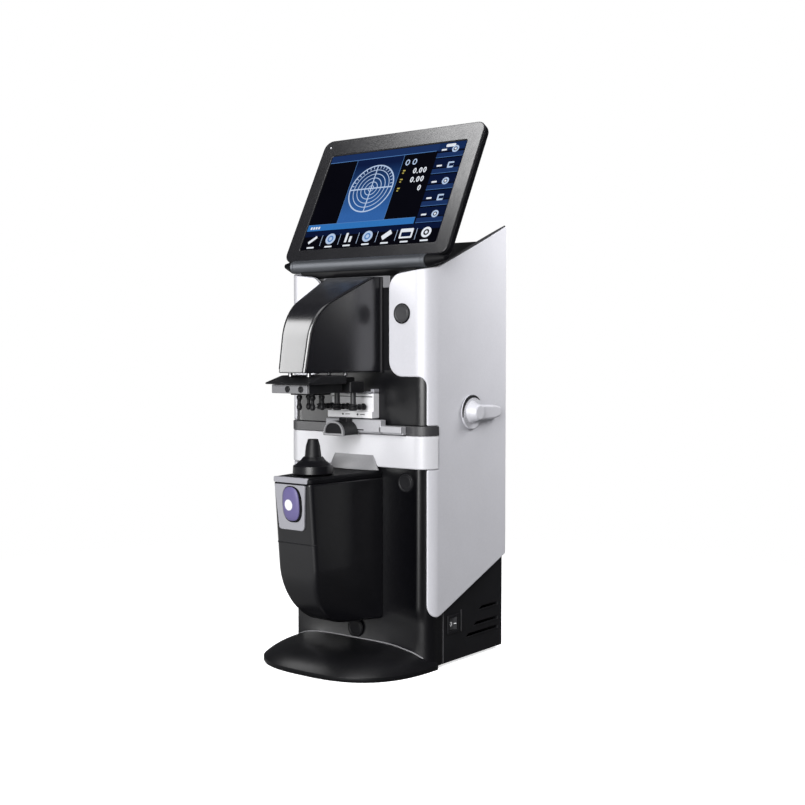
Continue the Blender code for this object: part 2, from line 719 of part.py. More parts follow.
def make_base(black, steel, rubber, root):
    """Make the base plate, its rear feet and the U-shaped housing with its vents and openings."""
    inner = BODY_HALF - PANEL_WALL
    fit = inner - GAP
    front = PANEL_BACK + GAP
    corner = TOWER_CORNER - front
    plan = rounded(box_corners((-fit, front), (fit, REAR_FRONT - GAP)), [corner, corner, 0, 0])
    add_object("base_plate", prism(plan, "Z", HOUSING_BOTTOM, BASE_PLATE_TOP), steel, root)
    for name, side in (("rubber_foot_left", -1), ("rubber_foot_right", 1)):
        centre = (side * (HALF_WIDTH - RUBBER_FOOT_SIDE_INSET), TOWER_DEPTH - RUBBER_FOOT_REAR_INSET)
        puck = rod("Z", centre, RUBBER_FOOT_RADIUS, 0, RUBBER_FOOT_HEIGHT)
        add_object(name, puck, rubber, root, smooth=True)
    plan = [(-BODY_HALF, HOUSING_FRONT), (-BODY_HALF, HOUSING_BACK), (BODY_HALF, HOUSING_BACK),
            (BODY_HALF, HOUSING_FRONT), (inner, HOUSING_FRONT), (inner, REAR_FRONT),
            (-inner, REAR_FRONT), (-inner, HOUSING_FRONT)]
    housing = add_object("base_housing", prism(plan, "Z", HOUSING_BOTTOM, HOUSING_TOP), black, root)
    for length, level in zip(VENT_LENGTHS, VENT_LEVELS):
        low = (-HALF_WIDTH, VENT_BACK - length, level - VENT_HEIGHT / 2)
        cut(housing, block(low, (HALF_WIDTH, VENT_BACK, level + VENT_HEIGHT / 2)))
    (low_y, low_z), (high_y, high_z) = switch_body(GAP)
    cut(housing, block((inner - PANEL_WALL, low_y, low_z), (HALF_WIDTH, high_y, high_z)))
    (low_x, low_z), (high_x, high_z) = inlet_body(GAP)
    cut(housing, block((low_x, REAR_FRONT - PANEL_WALL, low_z), (high_x, TOWER_DEPTH, high_z)))


def switch_body(margin):
    """Return the corners of the switch's body in the side wall, with a margin round it."""
    half_y = SWITCH_LENGTH / 2 - SWITCH_FLANGE + margin
    half_z = SWITCH_HEIGHT / 2 - SWITCH_FLANGE + margin
    return (SWITCH_Y - half_y, SWITCH_Z - half_z), (SWITCH_Y + half_y, SWITCH_Z + half_z)


def inlet_body(margin):
    """Return the corners of the mains inlet in the rear wall, with a margin round it."""
    half_x = INLET_WIDTH / 2 + margin
    half_z = INLET_HEIGHT / 2 + margin
    return (INLET_X - half_x, INLET_Z - half_z), (INLET_X + half_x, INLET_Z + half_z)


def make_switch(black, root, rocker_pivot):
    """Make the rocker switch: a flanged frame in the side wall, and the rocker that tips in it."""
    wall = BODY_HALF
    face = wall + GAP + SWITCH_FLANGE
    half_y = SWITCH_LENGTH / 2
    half_z = SWITCH_HEIGHT / 2
    flange = box_corners((SWITCH_Y - half_y, SWITCH_Z - half_z), (SWITCH_Y + half_y, SWITCH_Z + half_z))
    body = box_corners(*switch_body(0))
    hollow = box_corners(*switch_body(-SWITCH_WALL))
    floor = wall - SWITCH_BODY_DEPTH
    levels = [(hollow, floor + SWITCH_WALL), (hollow, face), (flange, face), (flange, wall + GAP),
              (body, wall + GAP), (body, floor)]
    rings = [[place_on("X", point, level) for point in ring] for ring, level in levels]
    add_object("switch_frame", loft(rings), black, root)
    profile = [(-ROCKER_FLOOR, -ROCKER_HALF_LENGTH), (-ROCKER_FLOOR, ROCKER_HALF_LENGTH),
               (ROCKER_CREST, ROCKER_HALF_LENGTH), (ROCKER_VALLEY, 0), (ROCKER_CREST, -ROCKER_HALF_LENGTH)]
    (_, low_z), (_, high_z) = switch_body(-SWITCH_WALL - RUN)
    rocker = prism(profile, "Z", low_z, high_z)
    bmesh.ops.rotate(rocker, verts=rocker.verts, matrix=Matrix.Rotation(-ROCKER_TILT, 3, 'Z'))
    bmesh.ops.translate(rocker, verts=rocker.verts, vec=(rocker_pivot.location.x, rocker_pivot.location.y, 0))
    add_object("switch_rocker", rocker, black, rocker_pivot)


def make_electrics(black, green, steel, root):
    """Make the mains inlet with its pins, the power supply and the main board."""
    outer = box_corners(*inlet_body(0))
    inner = box_corners(*inlet_body(-INLET_WALL))
    floor_top = INLET_FLOOR + INLET_WALL
    levels = [(inner, floor_top), (inner, INLET_MOUTH), (outer, INLET_MOUTH), (outer, INLET_FLOOR)]
    rings = [[place_on("Y", point, level) for point in ring] for ring, level in levels]
    inlet = add_object("power_inlet", loft(rings), black, root)
    for number in (-1, 0, 1):
        across = INLET_X + number * INLET_PIN_PITCH
        up = INLET_Z + (INLET_PIN if number == 0 else -INLET_PIN)
        low = (across - INLET_PIN / 2, INLET_FLOOR + INLET_WALL / 2, up - INLET_PIN)
        join(inlet, block(low, (across + INLET_PIN / 2, floor_top + INLET_PIN_LENGTH, up + INLET_PIN)))
    half = SUPPLY_WIDTH / 2
    back = INLET_FLOOR - SUPPLY_CLEARANCE
    seat = BASE_PLATE_TOP + GAP
    low = (SUPPLY_X - half, back - SUPPLY_DEPTH, seat)
    supply = block(low, (SUPPLY_X + half, back, seat + SUPPLY_HEIGHT))
    add_object("power_supply", supply, steel, root)
    half = BOARD_WIDTH / 2
    back = REAR_FRONT - GAP
    bottom = HOUSING_TOP + BOARD_RISE
    board = block((-half, back - BOARD_THICKNESS, bottom), (half, back, bottom + BOARD_HEIGHT))
    add_object("main_board", board, green, root)


def display_outline(margin):
    """Return the display's outer outline, across and up from the hinge, drawn in by a margin."""
    half = DISPLAY_HALF - margin
    low = DISPLAY_BOTTOM + margin
    high = SCREEN_BOTTOM + SCREEN_HEIGHT + BEZEL_ABOVE - margin
    corner = DISPLAY_CORNER - min(margin, DISPLAY_CORNER / 2)
    return rounded(box_corners((-half, low), (half, high)), [corner] * 4)


def screen_outline(margin):
    """Return the outline of the screen's window, drawn in by a margin."""
    low = (-SCREEN_HALF + margin, SCREEN_BOTTOM + margin)
    high = (SCREEN_HALF - margin, SCREEN_BOTTOM + SCREEN_HEIGHT - margin)
    return rounded(box_corners(low, high), [WINDOW_CORNER] * 4)


def upright_rings(levels):
    """Return rings of outlines that face the front, each at its own depth."""
    return [[place_on("Y", point, depth) for point in outline] for outline, depth in levels]


def ear_rings(side):
    """Return the rings of a hinge ear: a round boss on the axis, drawn in towards the display's edge."""
    bottom = DISPLAY_BOTTOM
    front = SCREEN_SETBACK - BEZEL_PROUD + BEZEL_THICKNESS + 2 * GAP
    back = front + DISPLAY_DEPTH - DISPLAY_CHAMFER / 2
    overlap = bottom + DISPLAY_WALL
    boss = [(BARREL_RADIUS * cos(angle), BARREL_RADIUS * sin(angle))
            for angle in [-1.5 * pi * step / 18 for step in range(19)]]
    profile = [(front, overlap), (back, overlap), (back, bottom), *boss, (front, BARREL_RADIUS)]
    middle = Vector(((front + back) / 2, bottom))
    inside = side * (BARREL_HALF + RUN)
    outside = side * (BARREL_HALF + RUN + EAR_LENGTH)
    drawn_in = [middle + (Vector(point) - middle) * EAR_TAPER for point in profile]
    drawn_in[0:2] = [Vector((drawn_in[0].x, overlap)), Vector((drawn_in[1].x, overlap))]
    return [[(inside, *point) for point in profile], [(outside, *point) for point in drawn_in]]


def make_display(black, gloss, screen_finish, steel, barrel_finish, root, pivot):
    """Make the tilting display: a tray with ears, bezel and screen, and the shaft in the fixed barrel."""
    centre = (HINGE_Y, HINGE_Z)
    bore = SHAFT_RADIUS + RUN
    barrel = tube("X", centre, BARREL_RADIUS, bore, -BARREL_HALF, BARREL_HALF, 28)
    add_object("hinge_barrel", barrel, barrel_finish, root, smooth=True)
    seat = BARREL_HALF + RUN + EAR_SHAFT_SEAT
    add_object("hinge_shaft", rod("X", (0, 0), SHAFT_RADIUS, -seat, seat, 16), steel, pivot, smooth=True)
    face = SCREEN_SETBACK - BEZEL_PROUD
    bezel_back = face + BEZEL_THICKNESS
    levels = [(display_outline(BEZEL_CHAMFER), face), (display_outline(0), face + BEZEL_CHAMFER),
              (display_outline(0), bezel_back), (screen_outline(0), bezel_back), (screen_outline(0), face)]
    add_object("display_bezel", loft(upright_rings(levels), ends=False), gloss, pivot, smooth=True)
    levels = [(screen_outline(GAP), SCREEN_SETBACK), (screen_outline(GAP), SCREEN_SETBACK + SCREEN_THICKNESS)]
    add_object("display_screen", loft(upright_rings(levels)), screen_finish, pivot)
    front = bezel_back + GAP
    back = front + DISPLAY_DEPTH
    levels = [(display_outline(DISPLAY_CHAMFER), back - DISPLAY_WALL), (display_outline(DISPLAY_WALL), front),
              (display_outline(0), front), (display_outline(0), back - DISPLAY_CHAMFER),
              (display_outline(DISPLAY_CHAMFER), back)]
    tray = add_object("display_back", loft(upright_rings(levels)), black, pivot, smooth=True)
    join(tray, loft(ear_rings(-1)), loft(ear_rings(1)))
    cut(tray, rod("X", (0, 0), bore, -seat - GAP, seat + GAP, 16))


def fillet_profile(points, radius):
    """Return the points of an open profile of three corners, with its middle corner rounded."""
    return rounded(points, [0, radius, 0], closed=False)


def tapered_ring(front, front_half, back, back_half, level, edge_round):
    """Return a level ring: a trapezium that widens to the back, with its two front corners rounded."""
    corners = [(front_half, front), (back_half, back), (-back_half, back), (-front_half, front)]
    ring = rounded(corners, [edge_round, GAP, GAP, edge_round])
    return [(across, depth, level) for across, depth in ring]


def head_half(depth):
    """Return the head's half-width, which grows evenly from the nose to the tower's face."""
    growth = (HEAD_REAR_HALF - HEAD_FRONT_HALF) / NOSE_REACH
    return HEAD_FRONT_HALF + growth * (depth + NOSE_REACH)


def head_profile():
    """Return the head's front line, as depth and height from the bottom to the top."""
    lean = tan(HEAD_FACE_LEAN)
    pitch = tan(HEAD_ROOF_SLOPE)
    corner_up = (HEAD_HEIGHT - pitch * NOSE_REACH) / (1 - pitch * lean)
    corner = (-NOSE_REACH + lean * corner_up, HEAD_BOTTOM + corner_up)
    roof_end = -2 * HEAD_EDGE_ROUND
    end = (roof_end, HEAD_TOP + pitch * roof_end)
    line = fillet_profile([(-NOSE_REACH, HEAD_BOTTOM), corner, end], HEAD_BROW_ROUND)
    return [line[0], ((line[0][0] + line[1][0]) / 2, (line[0][1] + line[1][1]) / 2), *line[1:]]


def head_ring(front, level, margin):
    """Return a level ring of the head, drawn in by a margin."""
    nose = front + margin
    half = head_half(front) - margin
    return tapered_ring(nose, half, SEAT_ON_FRONT - margin, HEAD_REAR_HALF - margin, level, HEAD_EDGE_ROUND)


def make_head(black, steel, glass, root):
    """Make the head: a cover open below, the floor that closes it, and the lamp tube with its lens."""
    line = head_profile()
    outer = [head_ring(front, level, 0) for front, level in line]
    inner = [head_ring(front, level, HEAD_WALL) for front, level in line
             if front < -HEAD_WALL - 4 * HEAD_EDGE_ROUND]
    lowered = [[(x, y, max(HEAD_BOTTOM, z - HEAD_WALL)) for x, y, z in ring] for ring in inner[1:]]
    add_object("head_cover", loft([*reversed(lowered), inner[0], *outer]), black, root, smooth=True)
    nose = line[0][0] + tan(HEAD_FACE_LEAN) * (HEAD_FLOOR_WALL + HEAD_WALL)
    rings = [head_ring(nose, HEAD_BOTTOM + lift, HEAD_WALL + GAP) for lift in (0, HEAD_FLOOR_WALL)]
    floor = add_object("head_floor", loft(rings), black, root)
    through = (HEAD_BOTTOM - HEAD_FLOOR_WALL, HEAD_BOTTOM + 2 * HEAD_FLOOR_WALL)
    cut(floor, rod("Z", (0, OPTICAL_Y), BEAM_RADIUS, *through))
    for across, depth in guide_places():
        cut(floor, rod("Z", (across, depth), GUIDE_ROD_RADIUS + RUN, *through, 16))
    bottom = HEAD_BOTTOM + HEAD_FLOOR_WALL + GAP
    top = bottom + LAMP_HEIGHT
    bore = LAMP_RADIUS - LAMP_WALL
    profile = [(bore, bottom), (LAMP_RADIUS, bottom), (LAMP_RADIUS, top), (bore - LAMP_WALL, top),
               (bore - LAMP_WALL, top - LAMP_WALL), (bore, top - LAMP_WALL)]
    lamp = turned(profile, "Z", (0, OPTICAL_Y), ends=False)
    add_object("lamp_tube", lamp, steel, root, smooth=True)
    rim = bore - GAP
    middle = bottom + LAMP_HEIGHT / 3
    profile = [(rim / 2, middle - LENS_THICKNESS), (rim, middle - LENS_THICKNESS / 2), (rim, middle),
               (rim / 2, middle + LENS_THICKNESS / 2)]
    add_object("collimator_lens", turned(profile, "Z", (0, OPTICAL_Y)), glass, root, smooth=True)


def guide_places():
    """Return where the rods of the lens holder and of the marker pass through the head's floor."""
    holder = [(side * HOLDER_ROD_X, HOLDER_ROD_Y) for side in (-1, 1)]
    marker = [(side * MARKER_ROD_X, MARKER_Y) for side in (-1, 1)]
    return holder + marker


def pod_profile():
    """Return the pod's front line, as depth and height from the keel up to the top."""
    corner = (pod_face(POD_BOTTOM), POD_BOTTOM)
    keel_back = corner[0] + POD_KEEL_ROUND
    return fillet_profile([(keel_back, POD_BOTTOM), corner, (-NOSE_REACH, POD_TOP)], POD_KEEL_ROUND)


def pod_half(level):
    """Return the half-width of the pod's face, which pinches in towards the keel."""
    drop = max(0.0, 1 - (level - POD_BOTTOM) / POD_KEEL_ROUND)
    return POD_FRONT_HALF + (POD_KEEL_HALF - POD_FRONT_HALF) * drop ** POD_PINCH_POWER


def pod_ring(front, level, margin):
    """Return a level ring of the pod, drawn in by a margin."""
    half = pod_half(level) - margin
    rear_half = POD_REAR_HALF - margin
    return tapered_ring(front + margin, half, SEAT_ON_FRONT - margin, rear_half, level, POD_EDGE_ROUND)


def pod_face(level):
    """Return the depth of the pod's flat face at a height."""
    return -NOSE_REACH + tan(POD_FACE_LEAN) * (POD_TOP - level)


def face_plate(outline, front, back):
    """Return a plate that leans with the pod's face. Its depths count outwards from that face."""
    return loft([[(across, pod_face(level) - depth, level) for across, level in outline]
                 for depth in (front, back)])


def make_pod(black, grey, green, root):
    """Make the pod: a shell open above, its cap, the ramp to the shelf, and the camera's tube and board."""
    line = pod_profile()
    outer = [pod_ring(front, level, 0) for front, level in line]
    inner = [pod_ring(front, level, POD_WALL) for front, level in line if level > POD_BOTTOM + POD_WALL]
    shell = add_object("pod_shell", loft([*outer, *reversed(inner)]), black, root, smooth=True)
    button_hole = ellipse((0, BUTTON_Z), BUTTON_HALF_WIDTH + RUN, BUTTON_HALF_HEIGHT + RUN)
    cut(shell, face_plate(button_hole, POD_WALL, -3 * POD_WALL))
    nose = line[-1][0]
    rings = [pod_ring(nose, POD_CAP_BOTTOM, 0), pod_ring(nose, POD_CAP_TOP - POD_CAP_SLOPE, 0),
             pod_ring(nose, POD_CAP_TOP, POD_CAP_SLOPE)]
    cap = add_object("pod_cap", loft(rings), black, root, smooth=True)
    cut(cap, rod("Z", (0, OPTICAL_Y), NOSE_BORE, POD_TOP - POD_CAP_HEIGHT, POD_CAP_TOP + POD_CAP_HEIGHT))
    wall = -COLLAR_PROUD - GAP
    foot = POD_CAP_TOP + GAP
    ends = ((foot, RAMP_BOTTOM_HALF, RAMP_BOTTOM_DEPTH), (foot + RAMP_HEIGHT, RAMP_TOP_HALF, RAMP_TOP_DEPTH))
    rings = []
    for level, half, depth in ends:
        corners = box_corners((-half, wall - depth), (half, wall))
        rings.append([(across, deep, level) for across, deep in corners])
    add_object("pod_ramp", loft(rings), grey, root)
    bottom = POD_TOP - IMAGING_LENGTH
    bore = IMAGING_RADIUS - IMAGING_WALL
    barrel = tube("Z", (0, OPTICAL_Y), IMAGING_RADIUS, bore, bottom, POD_TOP)
    add_object("imaging_tube", barrel, black, root, smooth=True)
    half = SENSOR_WIDTH / 2
    high = bottom - GAP
    sensor = block((-half, OPTICAL_Y - half, high - SENSOR_THICKNESS), (half, OPTICAL_Y + half, high))
    add_object("sensor_board", sensor, green, root)


def make_nosepiece(black, glass, root):
    """Make the lens stop: its collar on the pod's cap, the tapered nosepiece and the window inside."""
    centre = (0, OPTICAL_Y)
    foot = POD_CAP_TOP + GAP
    shoulder = foot + NOSE_COLLAR_HEIGHT
    top = shoulder + NOSE_CONE_HEIGHT
    bore = NOSE_NECK_RADIUS + GAP
    profile = [(bore, foot), (NOSE_COLLAR_RADIUS, foot), (NOSE_COLLAR_RADIUS - NOSE_COLLAR_DRAFT, shoulder),
               (bore + 2 * GAP, top), (bore, top)]
    add_object("nosepiece_collar", turned(profile, "Z", centre, 32, ends=False), black, root, smooth=True)
    seat = top - NOSE_SEAT - NOSE_CONE_HEIGHT
    profile = [(NOSE_BORE, seat), (NOSE_NECK_RADIUS, seat), (NOSE_NECK_RADIUS, top),
               (NOSE_TIP_RADIUS + GAP, NOSE_TIP - NOSE_LIP), (NOSE_TIP_RADIUS, NOSE_TIP),
               (NOSE_BORE, NOSE_TIP)]
    add_object("nosepiece", turned(profile, "Z", centre, 28, ends=False), black, root, smooth=True)
    lens_top = seat - GAP
    window = rod("Z", centre, NOSE_NECK_RADIUS, lens_top - WINDOW_THICKNESS, lens_top, 24)
    add_object("nosepiece_window", window, glass, root, smooth=True)


def make_button(grey, purple, root, pivot):
    """Make the button's plate on the pod's face, and the oval button that slides in it."""
    corners = [(-PLATE_BOTTOM_HALF, PLATE_BOTTOM), (PLATE_BOTTOM_HALF, PLATE_BOTTOM),
               (PLATE_TOP_HALF, PLATE_TOP), (-PLATE_TOP_HALF, PLATE_TOP)]
    outline = rounded(corners, [PLATE_ROUND] * 4)
    plate = add_object("button_plate", face_plate(outline, GAP + PLATE_THICKNESS, GAP), grey, root)
    hole = ellipse((0, BUTTON_Z), BUTTON_HALF_WIDTH + RUN, BUTTON_HALF_HEIGHT + RUN)
    cut(plate, face_plate(hole, 2 * PLATE_THICKNESS, -PLATE_THICKNESS))
    front = GAP + PLATE_THICKNESS + BUTTON_PROUD
    rings = []
    for margin, depth in ((BUTTON_CROWN_INSET, front), (0, front - BUTTON_CROWN), (0, front - BUTTON_LENGTH)):
        oval = ellipse((0, BUTTON_Z), BUTTON_HALF_WIDTH - margin, BUTTON_HALF_HEIGHT - margin)
        rings.append([(across, pod_face(level) - depth, level) for across, level in oval])
    add_object("memory_button", loft(rings), purple, pivot, smooth=True)


def make_holder(grey, black, silver, pivot):
    """Make the lens holder: a carriage with its hand lever and guide rods, a face bar and a plate of pins."""
    low = (-HOLDER_HALF, HOLDER_FRONT, HOLDER_BOTTOM)
    body = block(low, (HOLDER_HALF, HOLDER_BACK, HOLDER_TOP + GAP))
    carriage = add_object("holder_carriage", body, grey, pivot)
    back = HOLDER_BACK + GAP
    wedge = [(LEVER_FRONT, HOLDER_TOP), (back, HOLDER_TOP), (back, LEVER_CREST),
             (LEVER_FRONT + LEVER_RAMP, LEVER_CREST), (LEVER_FRONT, HOLDER_TOP + LEVER_TIP)]
    join(carriage, prism(wedge, "X", -LEVER_HALF, LEVER_HALF))
    for side in (-1, 1):
        place = (side * HOLDER_ROD_X, HOLDER_ROD_Y)
        join(carriage, rod("Z", place, GUIDE_ROD_RADIUS, HOLDER_TOP, GUIDE_ROD_TOP, 14))
    beam = rod("Z", (0, OPTICAL_Y), BEAM_RADIUS, HOLDER_BOTTOM - HOLDER_HEIGHT, LEVER_CREST + HOLDER_HEIGHT)
    cut(carriage, beam)
    back = HOLDER_FRONT - GAP
    low = (-FACE_BAR_HALF, back - FACE_BAR_THICKNESS, HOLDER_BOTTOM)
    add_object("holder_bar", block(low, (FACE_BAR_HALF, back, HOLDER_TOP - GAP)), silver, pivot)
    seat = HOLDER_BOTTOM - GAP
    margin = PIN_RADIUS + PIN_PLATE_MARGIN
    low = (-PIN_HALF_X - margin, PIN_MIDDLE_Y - PIN_HALF_Y - margin, seat - PIN_PLATE_WALL)
    high = (PIN_HALF_X + margin, PIN_MIDDLE_Y + PIN_HALF_Y + margin, seat)
    plate = add_object("holder_pins", block(low, high), black, pivot)
    cut(plate, rod("Z", (0, OPTICAL_Y), BEAM_RADIUS, seat - 2 * PIN_PLATE_WALL, seat + PIN_PLATE_WALL))
    profile = [(PIN_WAIST, PIN_TIP), (PIN_FOOT_RADIUS, PIN_TIP + PIN_FOOT_BOTTOM),
               (PIN_FOOT_RADIUS, PIN_TIP + PIN_FOOT_TOP), (PIN_WAIST, PIN_TIP + PIN_WAIST_BOTTOM),
               (PIN_WAIST, PIN_TIP + PIN_WAIST_TOP), (PIN_RADIUS, PIN_TIP + PIN_BODY_BOTTOM),
               (PIN_RADIUS, seat - PIN_PLATE_WALL / 2)]
    for across in (-PIN_HALF_X, PIN_HALF_X):
        for depth in (PIN_MIDDLE_Y - PIN_HALF_Y, PIN_MIDDLE_Y + PIN_HALF_Y):
            join(plate, turned(profile, "Z", (across, depth), 14))


def make_marker(grey, black, white, root, pivot):
    """Make the marker: a block on two guide rods with three ink pins, and the fixed box of the ink pad."""
    half_depth = MARKER_DEPTH / 2
    low = (-MARKER_HALF, MARKER_Y - half_depth, MARKER_BOTTOM)
    body = block(low, (MARKER_HALF, MARKER_Y + half_depth, MARKER_TOP))
    marker = add_object("marker_block", body, grey, pivot)
    for side in (-1, 1):
        place = (side * MARKER_ROD_X, MARKER_Y)
        join(marker, rod("Z", place, GUIDE_ROD_RADIUS, MARKER_TOP - GAP, GUIDE_ROD_TOP, 14))
    top = MARKER_BOTTOM - GAP
    knob = MARKER_TIP + MARKER_FOOT_HEIGHT
    profile = [(MARKER_TIP_RADIUS, MARKER_TIP), (MARKER_FOOT_RADIUS, MARKER_TIP + MARKER_FOOT_ROUND),
               (MARKER_FOOT_RADIUS, knob - MARKER_FOOT_ROUND), (MARKER_PIN_RADIUS, knob),
               (MARKER_PIN_RADIUS, top)]
    for name, side in (("marker_pin_left", -1), ("marker_pin_middle", 0), ("marker_pin_right", 1)):
        centre = (side * MARKER_PITCH, MARKER_Y)
        add_object(name, turned(profile, "Z", centre, 16), black, pivot, smooth=True)
    low = (-PAD_HALF, -PAD_REACH, PAD_BOTTOM)
    add_object("ink_pad_box", block(low, (PAD_HALF, SEAT_ON_FRONT, PAD_BOTTOM + PAD_HEIGHT)), white, root)


def groove(margin):
    """Return the height span of the lens table's groove, drawn in by a margin."""
    bottom = TABLE_BOTTOM + GROOVE_RISE
    return bottom + margin, bottom + GROOVE_HEIGHT - margin


def rack_outline():
    """Return the rack seen from the side: a bar whose back half has teeth that mesh below the pinion."""
    pitch = pi * TOOTH_MODULE
    slope = tan(PRESSURE_ANGLE)
    half = pitch / 4 - BACKLASH / 2
    tip = half - ADDENDUM * slope
    root = half + DEDENDUM * slope
    outline = [(TABLE_BACK + GAP, RACK_BOTTOM), (TABLE_BACK + GAP, RACK_TOP)]
    back = DIAL_Y + RACK_TAIL
    first = ceil(-RACK_LEAD / pitch)
    last = int(RACK_TAIL / pitch - 1)
    for number in range(first, last + 1):
        middle = DIAL_Y + (number + 0.5) * pitch
        outline += [(middle - root, RACK_TOP), (middle - tip, PITCH_LINE + ADDENDUM),
                    (middle + tip, PITCH_LINE + ADDENDUM), (middle + root, RACK_TOP)]
    return [*outline, (back, RACK_TOP), (back, RACK_BOTTOM)]


def pinion_outline():
    """Return the pinion seen from the side, with one tooth pointing straight down into the rack."""
    half = pi * TOOTH_MODULE / 4 - BACKLASH / 2
    flank = [(PITCH_RADIUS - DEDENDUM, half), (PITCH_RADIUS - DEDENDUM / 3, half),
             (PITCH_RADIUS, 0.93 * half), (PITCH_RADIUS + ADDENDUM / 2, 0.72 * half),
             (PITCH_RADIUS + ADDENDUM, 0.42 * half)]
    sides = [(radius, -width) for radius, width in flank]
    sides += [(radius, width) for radius, width in reversed(flank)]
    outline = []
    for number in range(PINION_TEETH):
        axis = -pi / 2 + 2 * pi * number / PINION_TEETH
        for radius, width in sides:
            angle = axis + width / radius
            outline.append((DIAL_Y + radius * cos(angle), DIAL_Z + radius * sin(angle)))
    return outline


def make_table(silver, grey, steel, black, root, table_pivot, slider_pivot):
    """Make the lens table with its groove, rack and rod, the guide they slide in, and the nose-pad slider."""
    bar = block((TABLE_LEFT, TABLE_FRONT, TABLE_BOTTOM), (TABLE_RIGHT, TABLE_BACK, TABLE_TOP))
    table = add_object("lens_table", bar, silver, table_pivot)
    bottom, top = groove(0)
    low = (TABLE_LEFT - GROOVE_DEPTH, TABLE_FRONT - GROOVE_DEPTH, bottom)
    cut(table, block(low, (TABLE_RIGHT + GROOVE_DEPTH, TABLE_FRONT + GROOVE_DEPTH, top)))
    half = PINION_WIDTH / 2
    rack = prism(rack_outline(), "X", PINION_X - half, PINION_X + half)
    add_object("table_rack", rack, steel, table_pivot)
    place = (TABLE_ROD_X, TABLE_ROD_Z)
    bar = rod("Y", place, TABLE_ROD_RADIUS, TABLE_BACK + GAP, TABLE_ROD_BACK, 16)
    add_object("table_rod", bar, steel, table_pivot, smooth=True)
    low = (TABLE_ROD_X - GUIDE_MARGIN, GUIDE_FRONT, RACK_BOTTOM - GUIDE_MARGIN)
    high = (PINION_X + half + GUIDE_MARGIN, GUIDE_BACK, LINER_TOP + GUIDE_MARGIN)
    guide = add_object("guide_block", block(low, high), black, root)
    through = (GUIDE_FRONT - GUIDE_DEPTH, GUIDE_BACK + GUIDE_DEPTH)
    cut(guide, rack_passage(*through), rod_passage(*through))
    back = TABLE_FRONT - RUN
    spring_line = SLIDER_BOTTOM + SLIDER_HEIGHT - SLIDER_HALF
    arch = [(SLIDER_HALF * cos(angle), spring_line + SLIDER_HALF * sin(angle))
            for angle in [pi * step / 20 for step in range(21)]]
    outline = [(-SLIDER_HALF, SLIDER_BOTTOM), (SLIDER_HALF, SLIDER_BOTTOM), *arch]
    slider = add_object("nosepad_slider", prism(outline, "Y", back - SLIDER_DEPTH, back), grey, slider_pivot,
                        smooth=True)
    bottom, top = groove(RUN)
    low = (-SLIDER_TONGUE_HALF, back - GROOVE_DEPTH, bottom)
    join(slider, block(low, (SLIDER_TONGUE_HALF, TABLE_FRONT + GROOVE_DEPTH - RUN, top)))


def make_lever(silver, steel, brass, root, pivot):
    """Make the table's drive: the pinion on its shaft, the bush in the shell, the dial and the lever."""
    centre = (DIAL_Y, DIAL_Z)
    dial_inside = HALF_WIDTH + RUN
    dial_outside = dial_inside + DIAL_THICKNESS
    hub_outside = dial_outside + GAP + HUB_THICKNESS
    half = PINION_WIDTH / 2
    pinion = prism(pinion_outline(), "X", PINION_X - half, PINION_X + half)
    shaft = add_object("pinion_shaft", pinion, steel, pivot)
    shaft_end = hub_outside - HUB_THICKNESS / 4
    join(shaft, rod("X", centre, LEVER_SHAFT_RADIUS, PINION_X - PINION_WIDTH, shaft_end))
    bush_outside = BODY_HALF
    bore = LEVER_SHAFT_RADIUS + RUN
    inside = bush_outside - BUSH_LENGTH
    step = bush_outside - BUSH_FLANGE
    profile = [(bore, inside), (BUSH_RADIUS, inside), (BUSH_RADIUS, step), (BUSH_FLANGE_RADIUS, step),
               (BUSH_FLANGE_RADIUS, bush_outside), (bore, bush_outside)]
    add_object("lever_bush", turned(profile, "X", centre, 24, ends=False), brass, root, smooth=True)
    fit = LEVER_SHAFT_RADIUS + GAP
    dial = tube("X", centre, DIAL_RADIUS, fit, dial_inside, dial_outside, 36)
    add_object("lever_dial", dial, silver, pivot, smooth=True)
    hub = [(DIAL_Y + HUB_RADIUS * cos(angle), DIAL_Z + HUB_RADIUS * sin(angle))
           for angle in [pi / 2 + pi * step / 16 for step in range(17)]]
    tip_y = DIAL_Y + ARM_LENGTH
    tip = [(tip_y + ARM_TIP_RADIUS * cos(angle), DIAL_Z + ARM_TIP_RADIUS * sin(angle))
           for angle in [-pi / 2 + pi * step / 12 for step in range(13)]]
    lever = add_object("table_lever", prism(hub + tip, "X", dial_outside + GAP, hub_outside), silver, pivot,
                       smooth=True)
    cut(lever, rod("X", centre, fit, dial_outside - HUB_THICKNESS, hub_outside + HUB_THICKNESS))


